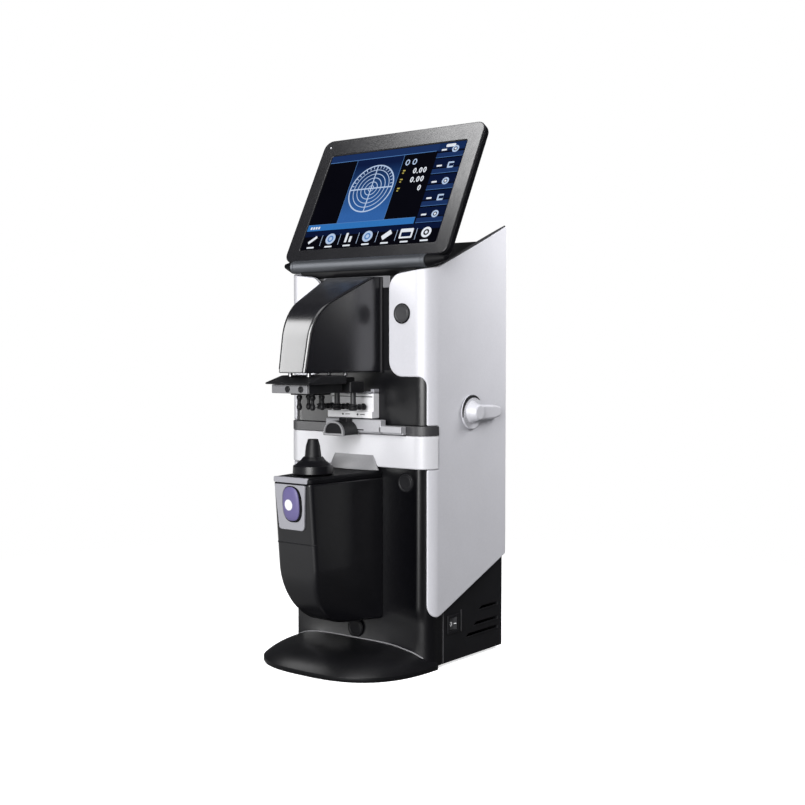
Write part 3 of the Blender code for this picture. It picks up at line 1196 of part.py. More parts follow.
def main():
    """Build the whole machine."""
    clear_scene()
    silver = make_material("silver_paint", (0.80, 0.80, 0.84), 0.35, 0.25)
    white = make_material("white_paint", (0.88, 0.88, 0.90), 0.35)
    black = make_material("black_gloss", (0.012, 0.011, 0.016), 0.22)
    matte = make_material("black_matte", (0.03, 0.03, 0.034), 0.55)
    grey = make_material("dark_grey", (0.12, 0.12, 0.13), 0.4)
    light_grey = make_material("light_grey", (0.55, 0.55, 0.57), 0.4)
    steel = make_material("steel", (0.6, 0.6, 0.62), 0.3, 1.0)
    brass = make_material("brass", (0.75, 0.58, 0.25), 0.35, 1.0)
    barrel = make_material("barrel_grey", (0.30, 0.30, 0.33), 0.35, 0.6)
    rubber = make_material("rubber", (0.02, 0.02, 0.02), 0.9)
    purple = make_material("button_purple", (0.25, 0.22, 0.50), 0.4)
    screen = make_material("screen_blue", (0.02, 0.05, 0.22), 0.15)
    board = make_material("board_green", (0.03, 0.22, 0.10), 0.5)
    clear = make_material("optical_glass", (0.85, 0.92, 0.95), 0.05)

    root = add_empty("machine", (0, FRAME_SHIFT, 0))
    hinge = add_empty("display_hinge", (0, HINGE_Y, HINGE_Z), root, (-DISPLAY_TILT, 0, 0))
    dial = add_empty("lever_axis", (HALF_WIDTH, DIAL_Y, DIAL_Z), root)
    table = add_empty("table_slide", (0, TABLE_FRONT, TABLE_BOTTOM), root)
    slider = add_empty("slider_slide", (0, TABLE_FRONT, SLIDER_BOTTOM), root)
    holder = add_empty("holder_slide", (0, OPTICAL_Y, HOLDER_BOTTOM), root)
    marker = add_empty("marker_slide", (0, MARKER_Y, MARKER_BOTTOM), root)
    button = add_empty("button_slide", (0, pod_face(BUTTON_Z), BUTTON_Z), root)
    rocker = add_empty("rocker_axis", (BODY_HALF - ROCKER_PIVOT_DEPTH, SWITCH_Y, SWITCH_Z), root)

    make_foot(black, root)
    make_base(matte, steel, rubber, root)
    make_switch(matte, root, rocker)
    make_electrics(matte, board, steel, root)
    make_shells(silver, root)
    make_front(black, white, matte, root)
    make_covers(black, silver, root)
    make_caps(grey, root)
    make_display(matte, black, screen, steel, barrel, root, hinge)
    make_head(black, steel, clear, root)
    make_pod(black, grey, board, root)
    make_nosepiece(matte, clear, root)
    make_button(light_grey, purple, root, button)
    make_holder(grey, matte, light_grey, holder)
    make_marker(grey, matte, white, root, marker)
    make_table(white, light_grey, steel, matte, root, table, slider)
    make_lever(silver, steel, brass, root, dial)


main()
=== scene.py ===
"""Looks of a desk-top lensmeter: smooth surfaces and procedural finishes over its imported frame.

Lengths are in metres, or in millimetres where a docstring says so. X runs to the viewer's right, Y from the
machine's front to its back, Z upwards.
"""

import logging
from collections.abc import Callable
from dataclasses import dataclass, field
from enum import Enum
from math import cos, pi, radians, sin, tan

import bmesh
import bpy
import numpy as np
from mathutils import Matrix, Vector
from mathutils.geometry import delaunay_2d_cdt


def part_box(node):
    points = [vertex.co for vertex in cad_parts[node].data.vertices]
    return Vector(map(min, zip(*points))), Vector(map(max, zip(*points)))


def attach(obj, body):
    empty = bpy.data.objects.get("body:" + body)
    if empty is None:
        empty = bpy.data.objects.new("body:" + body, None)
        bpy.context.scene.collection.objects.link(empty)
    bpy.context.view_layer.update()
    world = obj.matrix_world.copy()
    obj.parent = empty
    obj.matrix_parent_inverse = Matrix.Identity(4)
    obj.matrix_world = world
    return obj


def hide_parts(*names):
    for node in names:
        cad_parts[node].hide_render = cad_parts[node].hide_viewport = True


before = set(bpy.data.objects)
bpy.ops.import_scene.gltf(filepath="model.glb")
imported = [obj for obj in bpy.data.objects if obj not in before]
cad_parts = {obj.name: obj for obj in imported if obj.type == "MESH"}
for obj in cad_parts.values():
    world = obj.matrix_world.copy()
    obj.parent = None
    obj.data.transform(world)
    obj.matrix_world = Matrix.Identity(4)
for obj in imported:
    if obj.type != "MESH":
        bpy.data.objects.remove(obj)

Array = np.ndarray
Ring = Callable[[float], Array]
Place = Callable[[Array, Array, Array], Array]
Triple = tuple[float, float, float]
Socket = bpy.types.NodeSocket

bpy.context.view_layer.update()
MM = 0.001
log = logging.getLogger("lensmeter")


class Body(Enum):
    """The frame's moving bodies."""

    TOWER = "tower"
    DISPLAY = "display"
    TABLE = "table"
    SLIDER = "slider"
    LEVER = "lever"
    HOLDER = "holder"
    MARKER = "marker"
    BUTTON = "button"
    ROCKER = "rocker"


class Effect(Enum):
    """Shader groups that several finishes share: a group's name, its inputs and its output."""

    MOTTLE = ("tone_mottle", ("Colour", "Amount", "Scale"), "Colour")
    GRAIN = ("mould_grain", ("Scale", "Stretch"), "Height")
    SHEEN = ("handling_sheen", ("Roughness", "Amount"), "Roughness")
    DUST = ("resting_dust", ("Colour", "Amount"), "Colour")
    WEAR = ("edge_wear", ("Colour", "Amount"), "Colour")


@dataclass
class Box:
    """Lowest and highest corner of a block, such as a CAD node at rest."""

    low: Array
    high: Array

    def __post_init__(self) -> None:
        """Keep both corners as arrays."""
        self.low, self.high = np.array(self.low, float), np.array(self.high, float)

    @classmethod
    def of(cls, *nodes: str) -> "Box | list[Box]":
        """Read a node's box from the frame, or those of several nodes."""
        boxes = [cls(*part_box(node)) for node in nodes]
        return boxes if len(nodes) > 1 else boxes[0]

    @property
    def middle(self) -> Array:
        """Return the box's centre."""
        return (self.low + self.high) / 2

    @property
    def size(self) -> Array:
        """Return the box's sides."""
        return self.high - self.low

    def near(self, low_from: str, low: Array, high_from: str, high: Array) -> "Box":
        """Return a block that lies near this one.

        Args:
            low_from: what each axis of its low corner counts from: L, M or H for this block's low side,
                middle or high side, and 0 for the origin.
            low: millimetres from there.
            high_from: the same for its high corner.
            high: millimetres from there.

        Returns:
            The block.
        """
        ends = {"L": self.low, "M": self.middle, "H": self.high, "0": np.zeros(3)}
        first, second = (np.array([ends[end][axis] for axis, end in enumerate(names)])
                         for names in (low_from, high_from))
        return Box(first + MM * np.array(low), second + MM * np.array(high))


def ease(value: Array) -> Array:
    """Return a smooth rise from 0 to 1 as the value rises so: 3 times its square less twice its cube."""
    share = np.clip(value, 0, 1)
    return share ** 2 * (3 - 2 * share)


def unit(vectors: Array) -> Array:
    """Return vectors scaled to length one, or zero where they have none."""
    length = np.linalg.norm(vectors, axis=-1, keepdims=True)
    return np.divide(vectors, length, out=np.zeros_like(vectors), where=length > 1e-12)


def corner_arcs(before: Array, corners: Array, after: Array, radii: Array, inset: float, steps: int) -> Array:
    """Round corners of a line with arcs.

    Each edge moves to its left by the inset, so a corner slides along its bisector; the arc's centre lies
    on the bisector at radius over the sine of half the corner's angle, and keeps its place.

    Args:
        before: the point before each corner.
        corners: the corners.
        after: the point after each corner.
        radii: each corner's radius at no inset.
        inset: how far the edges move.
        steps: chords in each arc.

    Returns:
        The arcs' points, one row of steps + 1 points for each corner.
    """
    ahead = unit(after - corners)
    behind = unit(before - corners)
    half = np.arccos(np.clip((ahead * behind).sum(1), -1, 1)) / 2
    bisector = unit(ahead + behind)
    side = np.where(behind[:, 1] * ahead[:, 0] - behind[:, 0] * ahead[:, 1] >= 0, 1.0, -1.0)
    moved = corners + bisector * (side * inset / np.sin(half))[:, None]
    radius = np.maximum(np.asarray(radii, float) - side * inset, 1e-5)
    centre = moved + bisector * (radius / np.sin(half))[:, None]
    reach = (radius / np.tan(half))[:, None]
    first = moved + behind * reach - centre
    last = moved + ahead * reach - centre
    start = np.arctan2(first[:, 1], first[:, 0])
    sweep = (np.arctan2(last[:, 1], last[:, 0]) - start + pi) % (2 * pi) - pi
    angle = start[:, None] + sweep[:, None] * np.linspace(0, 1, steps + 1)
    return centre[:, None] + radius[:, None, None] * np.stack([np.cos(angle), np.sin(angle)], -1)


def rounded_outline(corners: Array, radii: Array, inset: float = 0.0, steps: int = 8) -> Array:
    """Return a closed outline with its corners rounded.

    Args:
        corners: its corners.
        radii: their radii.
        inset: how far it is drawn in, if it runs counter-clockwise.
        steps: chords in each corner.

    Returns:
        The outline's points.
    """
    points = np.asarray(corners, float)
    arcs = corner_arcs(np.roll(points, 1, 0), points, np.roll(points, -1, 0), radii, inset, steps)
    return arcs.reshape(-1, 2)


def rounded_line(points: Array, radii: Array, steps: int = 5) -> Array:
    """Return an open line whose inner corners are rounded.

    Args:
        points: the line's points.
        radii: the inner corners' radii.
        steps: chords in each corner.

    Returns:
        The new line's points.
    """
    line = np.asarray(points, float)
    arcs = corner_arcs(line[:-2], line[1:-1], line[2:], radii, 0.0, steps)
    return np.vstack([line[:1], arcs.reshape(-1, 2), line[-1:]])


def edge_counts(ring: Array, step: float) -> Array:
    """Return how many parts no longer than a step each edge of a closed ring needs."""
    lengths = np.linalg.norm(np.roll(ring, -1, 0) - ring, axis=1)
    return np.maximum(1, np.ceil(lengths / step)).astype(int)


def densify(ring: Array, counts: Array) -> Array:
    """Return a closed ring with its edges cut up.

    Args:
        ring: the ring's points.
        counts: each edge's count of equal parts.

    Returns:
        The new ring's points.
    """
    which = np.repeat(np.arange(len(ring)), counts)
    share = (np.arange(len(which)) - np.repeat(np.cumsum(counts) - counts, counts)) / counts[which]
    return ring[which] + (np.roll(ring, -1, 0) - ring)[which] * share[:, None]


def outline(corners: Array, radii: Array | float, steps: int = 8, step: float = 1.0) -> Ring:
    """Return a rounded outline as a function of its inset, always with the same count of points.

    Args:
        corners: the outline's corners, counter-clockwise for an edge and clockwise for a hole.
        radii: the corners' radii.
        steps: chords in each corner.
        step: longest edge before it is cut up.

    Returns:
        A function of the inset.
    """
    radii = np.broadcast_to(np.asarray(radii, float), (len(corners),))
    counts = edge_counts(rounded_outline(corners, radii, 0.0, steps), step)
    return lambda inset: densify(rounded_outline(corners, radii, inset, steps), counts)


def tablet(low: Array, high: Array, radii: Array | float, steps: int = 3, hole: bool = False,
           step: float = 1.0) -> Ring:
    """Return a round-cornered rectangle as a function of its inset.

    Args:
        low: its low corner.
        high: its high corner.
        radii: its corners' radii.
        steps: chords in each corner.
        hole: whether it runs clockwise.
        step: longest edge before it is cut up.

    Returns:
        A function of the inset.
    """
    corners = np.array([(low[0], low[1]), (high[0], low[1]), (high[0], high[1]), (low[0], high[1])], float)
    return outline(corners[::-1] if hole else corners, radii, steps, step)


def oval(centre: Array, half_width: float, half_height: float, count: int = 48, hole: bool = False,
         power: float = 2.0) -> Ring:
    """Return a superellipse as a function of its inset.

    Args:
        centre: its middle.
        half_width: half its width.
        half_height: half its height.
        count: points round it.
        hole: whether it runs clockwise.
        power: its power, 2 for an ellipse.

    Returns:
        A function of the inset.
    """
    sign = -1 if hole else 1
    angle = np.linspace(0, 2 * pi, count, endpoint=False) * sign
    turn = np.stack([np.cos(angle), np.sin(angle)], 1)
    turn = np.sign(turn) * np.abs(turn) ** (2 / power)
    return lambda inset: np.asarray(centre) + turn * (half_width - sign * inset, half_height - sign * inset)


def soft_rim(front: float, back: float, front_round: float, back_round: float = 0.0, steps: int = 4) -> Array:
    """Return a plate's edge: a quarter round, a wall and a second round.

    Args:
        front: depth of the front face.
        back: depth of the back face.
        front_round: radius of the front edge.
        back_round: radius of the back edge.
        steps: chords in each quarter.

    Returns:
        Rows of inset, depth and the normal's lean away from the face.
    """
    lean = np.linspace(0, pi / 2, steps + 1)
    near = np.stack([front_round * (1 - np.sin(lean)), front + front_round * (1 - np.cos(lean)), lean], 1)
    turn = lean + pi / 2
    far = np.stack([back_round * (1 - np.sin(turn)), back - back_round * (1 + np.cos(turn)), turn], 1)
    return np.vstack([near, far if back_round > 0 else [(0.0, back, pi / 2)]])


def slope(points: Array, axis: int, wrap: bool) -> Array:
    """Return the differences between each point's neighbours along an axis of a grid, closed or open."""
    return np.roll(points, -1, axis) - np.roll(points, 1, axis) if wrap else np.gradient(points, axis=axis)


def grid_quads(rows: int, columns: int, closed: bool) -> Array:
    """Return the quads of a grid whose points are numbered row by row.

    Args:
        rows: its rows.
        columns: its columns.
        closed: whether each row closes on itself.

    Returns:
        Four point numbers for each quad.
    """
    index = np.arange(rows * columns).reshape(rows, columns)
    index = np.hstack([index, index[:, :1]]) if closed else index
    quads = np.stack([index[:-1, :-1], index[1:, :-1], index[1:, 1:], index[:-1, 1:]], -1)
    return quads.reshape(-1, 4)


def within(points: Array, loops: list[Array]) -> Array:
    """Find which points lie inside loops: those with an odd count of edges to their right.

    Args:
        points: the points.
        loops: closed rings of points.

    Returns:
        True or false for each point.
    """
    edges = np.vstack([np.hstack([loop, np.roll(loop, -1, 0)]) for loop in loops])
    x, y = points[:, :1], points[:, 1:]
    spans = (edges[:, 1] > y) != (edges[:, 3] > y)
    rise = np.where(edges[:, 3] == edges[:, 1], 1e-12, edges[:, 3] - edges[:, 1])
    meets = edges[:, 0] + (y - edges[:, 1]) / rise * (edges[:, 2] - edges[:, 0])
    return (spans & (x < meets)).sum(1) % 2 == 1


def laid(place: Place, spread: Array, depth: float) -> tuple[Array, Array, Array, Array]:
    """Lay flat points on a surface; the directions there are differences over a tiny step.

    Args:
        place: maps along, up and depth to points in space.
        spread: the points, along and up.
        depth: how deep they lie.

    Returns:
        The points in space, the face's normals, and the directions along and up.
    """
    step = 1e-6
    first, second = spread[:, 0], spread[:, 1]
    deep = np.full(len(spread), depth)
    along = unit(place(first + step, second, deep) - place(first - step, second, deep))
    up = unit(place(first, second + step, deep) - place(first, second - step, deep))
    return place(first, second, deep), unit(np.cross(along, up)), along, up


def evenly(line: Array, count: int) -> Array:
    """Return points at even lengths along a line.

    Args:
        line: the line's points.
        count: how many are wanted.

    Returns:
        The new points.
    """
    length = np.concatenate([[0], np.cumsum(np.linalg.norm(np.diff(line, axis=0), axis=1))])
    at = np.linspace(0, length[-1], count)
    return np.stack([np.interp(at, length, column) for column in line.T], 1)


@dataclass(frozen=True)
class Plane:
    """A flat face: where it starts, which way it runs and which way is up on it."""

    origin: Triple
    along: Triple = (1, 0, 0)
    up: Triple = (0, 0, 1)

    @property
    def inward(self) -> Array:
        """Return the direction into the face."""
        return -np.cross(np.asarray(self.along, float), np.asarray(self.up, float))

    def place(self, first: Array, second: Array, depth: Array) -> Array:
        """Return points on the plane; depth counts inwards, against the normal."""
        flat = first[:, None] * np.asarray(self.along, float) + second[:, None] * np.asarray(self.up, float)
        return np.asarray(self.origin, float) + flat + depth[:, None] * self.inward


class Surface:
    """Patches of one piece, each with smooth normals of its own, welded where they meet."""

    FACINGS = {"-Y": ((1, 0, 0), (0, 0, 1)), "+Y": ((-1, 0, 0), (0, 0, 1)), "+X": ((0, 1, 0), (0, 0, 1)),
               "-X": ((0, -1, 0), (0, 0, 1)), "+Z": ((1, 0, 0), (0, 1, 0))}

    def __init__(self) -> None:
        """Start without patches."""
        self.points: list[Array] = []
        self.normals: list[Array] = []
        self.faces: list[Array] = []
        self.count = 0

    def patch(self, points: Array, normals: Array, faces: Array) -> "Surface":
        """Add a patch.

        Args:
            points: its points.
            normals: their normals.
            faces: its faces, which number the points from zero.

        Returns:
            The surface.
        """
        self.points.append(points.reshape(-1, 3))
        self.normals.append(normals.reshape(-1, 3))
        self.faces.append(faces + self.count)
        self.count += len(self.points[-1])
        return self

    def grid(self, points: Array, closed: bool = False) -> "Surface":
        """Add a grid of points; a normal is the cross product of the differences along rows and columns."""
        normals = unit(np.cross(slope(points, 0, False), slope(points, 1, closed)))
        return self.patch(points, normals, grid_quads(*points.shape[:2], closed))

    def cap(self, ring: Array) -> "Surface":
        """Close a flat ring with one face; its normal is the sum of its edges' cross products.

        Args:
            ring: the ring's points.

        Returns:
            The surface.
        """
        middle = ring - ring.mean(0)
        normal = unit(np.cross(middle, np.roll(middle, -1, 0)).sum(0))
        return self.patch(ring, np.tile(normal, (len(ring), 1)), np.arange(len(ring))[None])

    def stack(self, rings: Array) -> "Surface":
        """Add a skin through closed rings, with flat ends."""
        return self.grid(rings, True).cap(rings[0]).cap(rings[-1])

    def tube(self, path: Array, radius: Array | float, count: int = 8) -> "Surface":
        """Carry a circle along a path, in a frame of its direction, a side across it and their cross product.

        Args:
            path: the path's points.
            radius: the circle's radius, or one for each point.
            count: points round the circle.

        Returns:
            The surface.
        """
        run = unit(np.gradient(path, axis=0))
        steady = np.eye(3)[int(np.argmin(np.ptp(path, axis=0)))]
        side = unit(np.cross(run, steady))
        over = np.cross(side, run)
        angle = np.linspace(0, 2 * pi, count, endpoint=False)[None, :, None]
        size = np.broadcast_to(np.asarray(radius, float), (len(path),))[:, None, None]
        circle = np.cos(angle) * side[:, None] + np.sin(angle) * over[:, None]
        return self.stack(path[:, None] + size * circle)

    def turned(self, line: Array, rounds: Array, centre: Array, axis: str, count: int,
               steps: int = 4) -> "Surface":
        """Turn a line about an axis; the surface is closed if its ends meet or are on the axis.

        Args:
            line: rows of radius and level.
            rounds: radii of the line's inner corners in millimetres, or none to leave them sharp.
            centre: a point on the axis, which levels count from.
            axis: the axis, which levels run along.
            count: points round the axis.
            steps: chords in each corner.

        Returns:
            The surface.
        """
        profile = rounded_line(line, np.array(rounds) / 1000, steps) if len(rounds) else np.array(line)
        angle = np.linspace(0, 2 * pi, count, endpoint=False)
        radius, level = profile[:, :1], profile[:, 1:]
        first, second, third = radius * np.cos(angle), radius * np.sin(angle), level + 0 * angle
        order = {"X": (third, first, second), "Y": (first, third, second), "Z": (first, second, third)}[axis]
        return self.grid(np.stack(order, -1) + np.asarray(centre), True)

    def slab(self, box: Box, facing: str, corner: float, edge: float, back_edge: float = 0.0,
             holes: tuple[Ring, ...] = ()) -> "Surface":
        """Add a block with round corners and soft edges.

        Args:
            box: the block.
            facing: the side that its soft face looks to, as a sign and an axis.
            corner: radius of the face's corners, in millimetres.
            edge: radius of the face's edge, in millimetres.
            back_edge: radius of the far face's edge, in millimetres.
            holes: holes through it, along and up on that side.

        Returns:
            The surface.
        """
        along, up = (np.array(side, float) for side in self.FACINGS[facing])
        normal = np.cross(along, up)
        ends = np.array([box.low, box.high])
        first, second, deep = np.sort(ends @ along), np.sort(ends @ up), np.sort(ends @ normal)
        edges = tablet((first[0], second[0]), (first[1], second[1]), corner / 1000, 5)
        rim = soft_rim(0.0, deep[1] - deep[0], edge / 1000, back_edge / 1000)
        return self.plate([edges, *holes], rim, Plane(tuple(normal * deep[1]), tuple(along), tuple(up)).place)

    def bar(self, section: Array, radii: Array, low: float, high: float, edge: float) -> "Surface":
        """Carry a section along X, with soft ends.

        Args:
            section: its corners, back and up.
            radii: the corners' radii, in millimetres.
            low: where it starts.
            high: where it ends.
            edge: radius of the ends' edges.

        Returns:
            The surface.
        """
        plane = Plane((high, 0, 0), (0, 1, 0))
        rings = [outline(np.array(section), np.array(radii) / 1000, 5)]
        return self.plate(rings, soft_rim(0.0, high - low, edge, edge), plane.place)

    def screw(self, plane: Plane, spot: tuple[float, float], front: float) -> "Surface":
        """Add a round, slotted screw head to a face.

        Args:
            plane: the face.
            spot: its place along and up.
            front: depth of its front.

        Returns:
            The surface.
        """
        slot = np.array([0.0019, 0.0003])
        rings = [oval(spot, 0.0028, 0.0028, 28), tablet(spot - slot, spot + slot, 0.0001, 2, True)]
        return self.plate(rings, soft_rim(front, front + 0.0009, 0.0003), plane.place)

    def plate(self, rings: list[Ring], rim: Array, place: Place, lattice: Array | None = None) -> "Surface":
        """Add a plate with soft edges and holes, laid on any surface.

        A rim row draws the outlines in by its inset at its depth; a normal there is the face's normal times
        the cosine of the lean, plus the outline's outward direction times its sine. Both faces are filled by
        a constrained triangulation of the first outlines and the lattice's points within them, without the
        triangles whose middle lies in a hole.

        Args:
            rings: the edge and the holes, as functions of the inset.
            rim: rows of inset, depth and lean, from the front face to the back.
            place: maps along, up and depth to points in space.
            lattice: spare points for faces that bend.

        Returns:
            The surface.
        """
        loops = [[ring(inset) for ring in rings] for inset in rim[:, 0]]
        spare = np.empty((0, 2))
        if lattice is not None:
            spare = lattice[within(lattice, [ring(rim[0, 0] + 0.0004) for ring in rings])]
        sizes = [len(loop) for loop in loops[0]]
        starts = np.cumsum([0, *sizes])
        edges = np.vstack([np.stack([np.arange(size), np.roll(np.arange(size), -1)], 1) + start
                           for size, start in zip(sizes, starts)])
        flat = np.vstack([*loops[0], spare])
        found = delaunay_2d_cdt([Vector(point) for point in flat], edges.tolist(), [], 1, 1e-9)
        source = np.array([names[0] for names in found[3]])
        triangles = source[np.array(found[2])]
        triangles = triangles[within(flat[triangles].mean(1), loops[0])]
        for row, sign in ((0, 1), (-1, -1)):
            points, facing, _, _ = laid(place, np.vstack([*loops[row], spare]), rim[row, 1])
            self.patch(points, sign * facing, triangles)
        for number in range(len(rings)):
            self._wall([row[number] for row in loops], rim, place)
        return self

    def _wall(self, loops: list[Array], rim: Array, place: Place) -> None:
        """Add the edge of a plate.

        Args:
            loops: one outline at every rim row.
            rim: the rim's rows.
            place: maps along, up and depth to points in space.
        """
        points, normals = [], []
        for loop, (_, depth, lean) in zip(loops, rim):
            spot, facing, along, up = laid(place, loop, depth)
            run = unit(np.roll(loop, -1, 0) - np.roll(loop, 1, 0))
            outward = run[:, 1:] * along - run[:, :1] * up
            points.append(spot)
            normals.append(cos(lean) * facing + sin(lean) * outward)
        self.patch(np.array(points), np.array(normals), grid_quads(len(rim), len(loops[0]), True))

    def mesh(self, name: str) -> bpy.types.Mesh:
        """Weld the patches, turn their faces outwards and keep their normals.

        Args:
            name: the mesh's name.

        Returns:
            The mesh.
        """
        points = np.concatenate(self.points)
        normals = np.concatenate(self.normals)
        _, first, where = np.unique(np.round(points, 6), axis=0, return_index=True, return_inverse=True)
        loose = np.concatenate([block.ravel() for block in self.faces])
        sizes = np.concatenate([np.full(len(block), block.shape[1]) for block in self.faces])
        corners = where.ravel()[loose]
        ends = np.cumsum(sizes)
        after = np.arange(len(corners)) + 1
        after[ends - 1] = ends - sizes
        keep = corners != corners[after]
        kept = np.add.reduceat(keep, ends - sizes)
        keep &= np.repeat(kept > 2, sizes)
        corners, loose = corners[keep], loose[keep]
        sizes = kept[kept > 2]
        spots = points[first]
        flat = self._polygons(name, spots, corners, sizes)
        work = bmesh.new()
        work.from_mesh(flat)
        bmesh.ops.recalc_face_normals(work, faces=work.faces)
        facing = np.array([face.normal for face in work.faces])
        work.free()
        made = np.zeros(len(sizes) * 3)
        flat.polygons.foreach_get("normal", made)
        bpy.data.meshes.remove(flat)
        turn = (made.reshape(-1, 3) * facing).sum(1) < 0
        starts = np.repeat(np.cumsum(sizes) - sizes, sizes)
        place = np.arange(len(corners))
        order = np.where(np.repeat(turn, sizes), 2 * starts + np.repeat(sizes, sizes) - 1 - place, place)
        mesh = self._polygons(name, spots, corners[order], sizes)
        outward = np.repeat(facing, sizes, axis=0)
        chosen = normals[loose[order]]
        agreement = (chosen * outward).sum(1, keepdims=True)
        chosen = np.where(agreement < 0, -chosen, chosen)
        chosen = np.where(np.abs(agreement) < 0.05, outward, chosen)
        mesh.normals_split_custom_set(chosen.tolist())
        return mesh

    @staticmethod
    def _polygons(name: str, spots: Array, corners: Array, sizes: Array) -> bpy.types.Mesh:
        """Make a smooth mesh of polygons.

        Args:
            name: the mesh's name.
            spots: its points.
            corners: the polygons' corners, in one run.
            sizes: how many corners each has.

        Returns:
            The mesh.
        """
        mesh = bpy.data.meshes.new(name)
        mesh.vertices.add(len(spots))
        mesh.vertices.foreach_set("co", spots.astype(np.float32).ravel())
        mesh.loops.add(len(corners))
        mesh.loops.foreach_set("vertex_index", corners.astype(np.int32))
        mesh.polygons.add(len(sizes))
        mesh.polygons.foreach_set("loop_start", (np.cumsum(sizes) - sizes).astype(np.int32))
        mesh.update(calc_edges=True)
        return mesh

    def piece(self, name: str, finish: "Finish", *nodes: str, body: Body = Body.TOWER) -> None:
        """Make the piece, dress it, and let it ride on its body in place of CAD nodes.

        Args:
            name: the piece's name.
            finish: what it is made of.
            nodes: the CAD nodes that it stands for.
            body: the body that it moves with.
        """
        made = bpy.data.objects.new(name, self.mesh(name))
        bpy.context.scene.collection.objects.link(made)
        made.data.materials.append(finish.material())
        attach(made, body.value)
        if nodes:
            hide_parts(*nodes)
        log.info("%s: %d faces, %s", name, len(made.data.polygons), finish.name)


@dataclass(frozen=True)
class Skin:
    """The tower's skin in plan: a flat front, two round corners and two straight sides."""

    half_width: float
    front: float
    corner: float = 0.016

    @classmethod
    def of_tower(cls) -> "Skin":
        """Read the tower's skin from the frame: its width and front are the right shell's."""
        shell = Box.of("right_side_shell")
        return cls(float(shell.high[0]), float(shell.low[1]))

    @property
    def flat(self) -> float:
        """Return half the length of the flat front."""
        return self.half_width - self.corner

    @property
    def side_start(self) -> float:
        """Return the length along the skin at which a side becomes straight."""
        return self.flat + self.corner * pi / 2

    def along_side(self, depth: float) -> float:
        """Return the length along the skin at a distance back from the front."""
        return self.side_start + depth - self.corner

    def place(self, along: Array, level: Array, depth: Array) -> Array:
        """Bend points round the tower: flat, then turned about a corner by length over radius, then straight.

        Args:
            along: lengths along the skin from the middle of the front.
            level: heights.
            depth: depths under the skin.

        Returns:
            The points in space.
        """
        length, side = np.abs(along), np.sign(along)
        angle = np.clip((length - self.flat) / self.corner, 0, pi / 2)
        beyond = np.maximum(length - self.side_start, 0)
        radius = self.corner - depth
        across = side * (np.minimum(length, self.flat) + radius * np.sin(angle))
        back = self.front + self.corner - radius * np.cos(angle) + beyond
        return np.stack([across, back, level], 1)

    def mirrored(self, along: Array, level: Array, depth: Array) -> Array:
        """Return points on the other side."""
        return self.place(-along, level, depth)

    def lattice(self, low: float, high: float, reach: float, row: float = 0.008) -> Array:
        """Give spare points, close together round the corners.

        Args:
            low: the level where they start.
            high: the level where they end.
            reach: how far they go along the skin.
            row: the rows' distance.

        Returns:
            Points along and up.
        """
        bend = self.flat + self.corner * np.linspace(0, pi / 2, 21)
        columns = np.concatenate([bend, np.linspace(self.side_start, reach, 8)[1:], [self.flat / 2]])
        columns = np.concatenate([columns, [0.0], -columns])
        return np.stack(np.meshgrid(columns, np.arange(low, high, row)), -1).reshape(-1, 2)


class Graph:
    """A node tree being filled."""

    def __init__(self, tree: bpy.types.NodeTree) -> None:
        """Keep the tree, emptied."""
        self.tree = tree
        tree.nodes.clear()

    def add(self, kind: str, inputs: dict | None = None, **settings: object) -> bpy.types.Node:
        """Add a node.

        Args:
            kind: the node's type.
            inputs: values or sockets for its inputs, by name or number.
            settings: its own properties.

        Returns:
            The node.
        """
        node = self.tree.nodes.new(kind)
        for key, value in settings.items():
            setattr(node, key, value)
        for key, value in (inputs or {}).items():
            if isinstance(value, Socket):
                self.tree.links.new(value, node.inputs[key])
            else:
                node.inputs[key].default_value = value
        return node

    def math(self, operation: str, first: object, second: object = 0.0) -> Socket:
        """Return the result of a sum of two values."""
        return self.add("ShaderNodeMath", {0: first, 1: second}, operation=operation).outputs[0]

    def times(self, first: object, second: object) -> Socket:
        """Return the product of two values."""
        return self.math("MULTIPLY", first, second)

    def vectors(self, operation: str, first: object, second: object = (0.0, 0.0, 0.0)) -> bpy.types.Node:
        """Return the node for a sum of two vectors."""
        return self.add("ShaderNodeVectorMath", {0: first, 1: second}, operation=operation)

    def span(self, value: object, span: tuple[float, float], low: object = 0.0, high: object = 1.0) -> Socket:
        """Return a value mapped from one span to another."""
        inputs = {"Value": value, "From Min": span[0], "From Max": span[1], "To Min": low, "To Max": high}
        return self.add("ShaderNodeMapRange", inputs).outputs[0]

    def blend(self, share: object, first: object, second: object, how: str = "MIX") -> Socket:
        """Return two colours blended by a share."""
        node = self.add("ShaderNodeMix", {0: share, 6: first, 7: second}, data_type="RGBA", blend_type=how)
        return node.outputs[2]

    def place(self) -> Socket:
        """Return the piece's own coordinates."""
        return self.add("ShaderNodeTexCoord").outputs["Object"]

    def noise(self, scale: object, detail: float, vector: Socket | None = None) -> Socket:
        """Return noise over the piece's own coordinates, or over a vector."""
        inputs = {"Vector": vector or self.place(), "Scale": scale, "Detail": detail}
        return self.add("ShaderNodeTexNoise", inputs).outputs[0]

    def effect(self, effect: Effect, **inputs: object) -> Socket:
        """Return the output of a shared group, placed with these values."""
        return self.add("ShaderNodeGroup", inputs, node_tree=Effects.group(effect)).outputs[0]


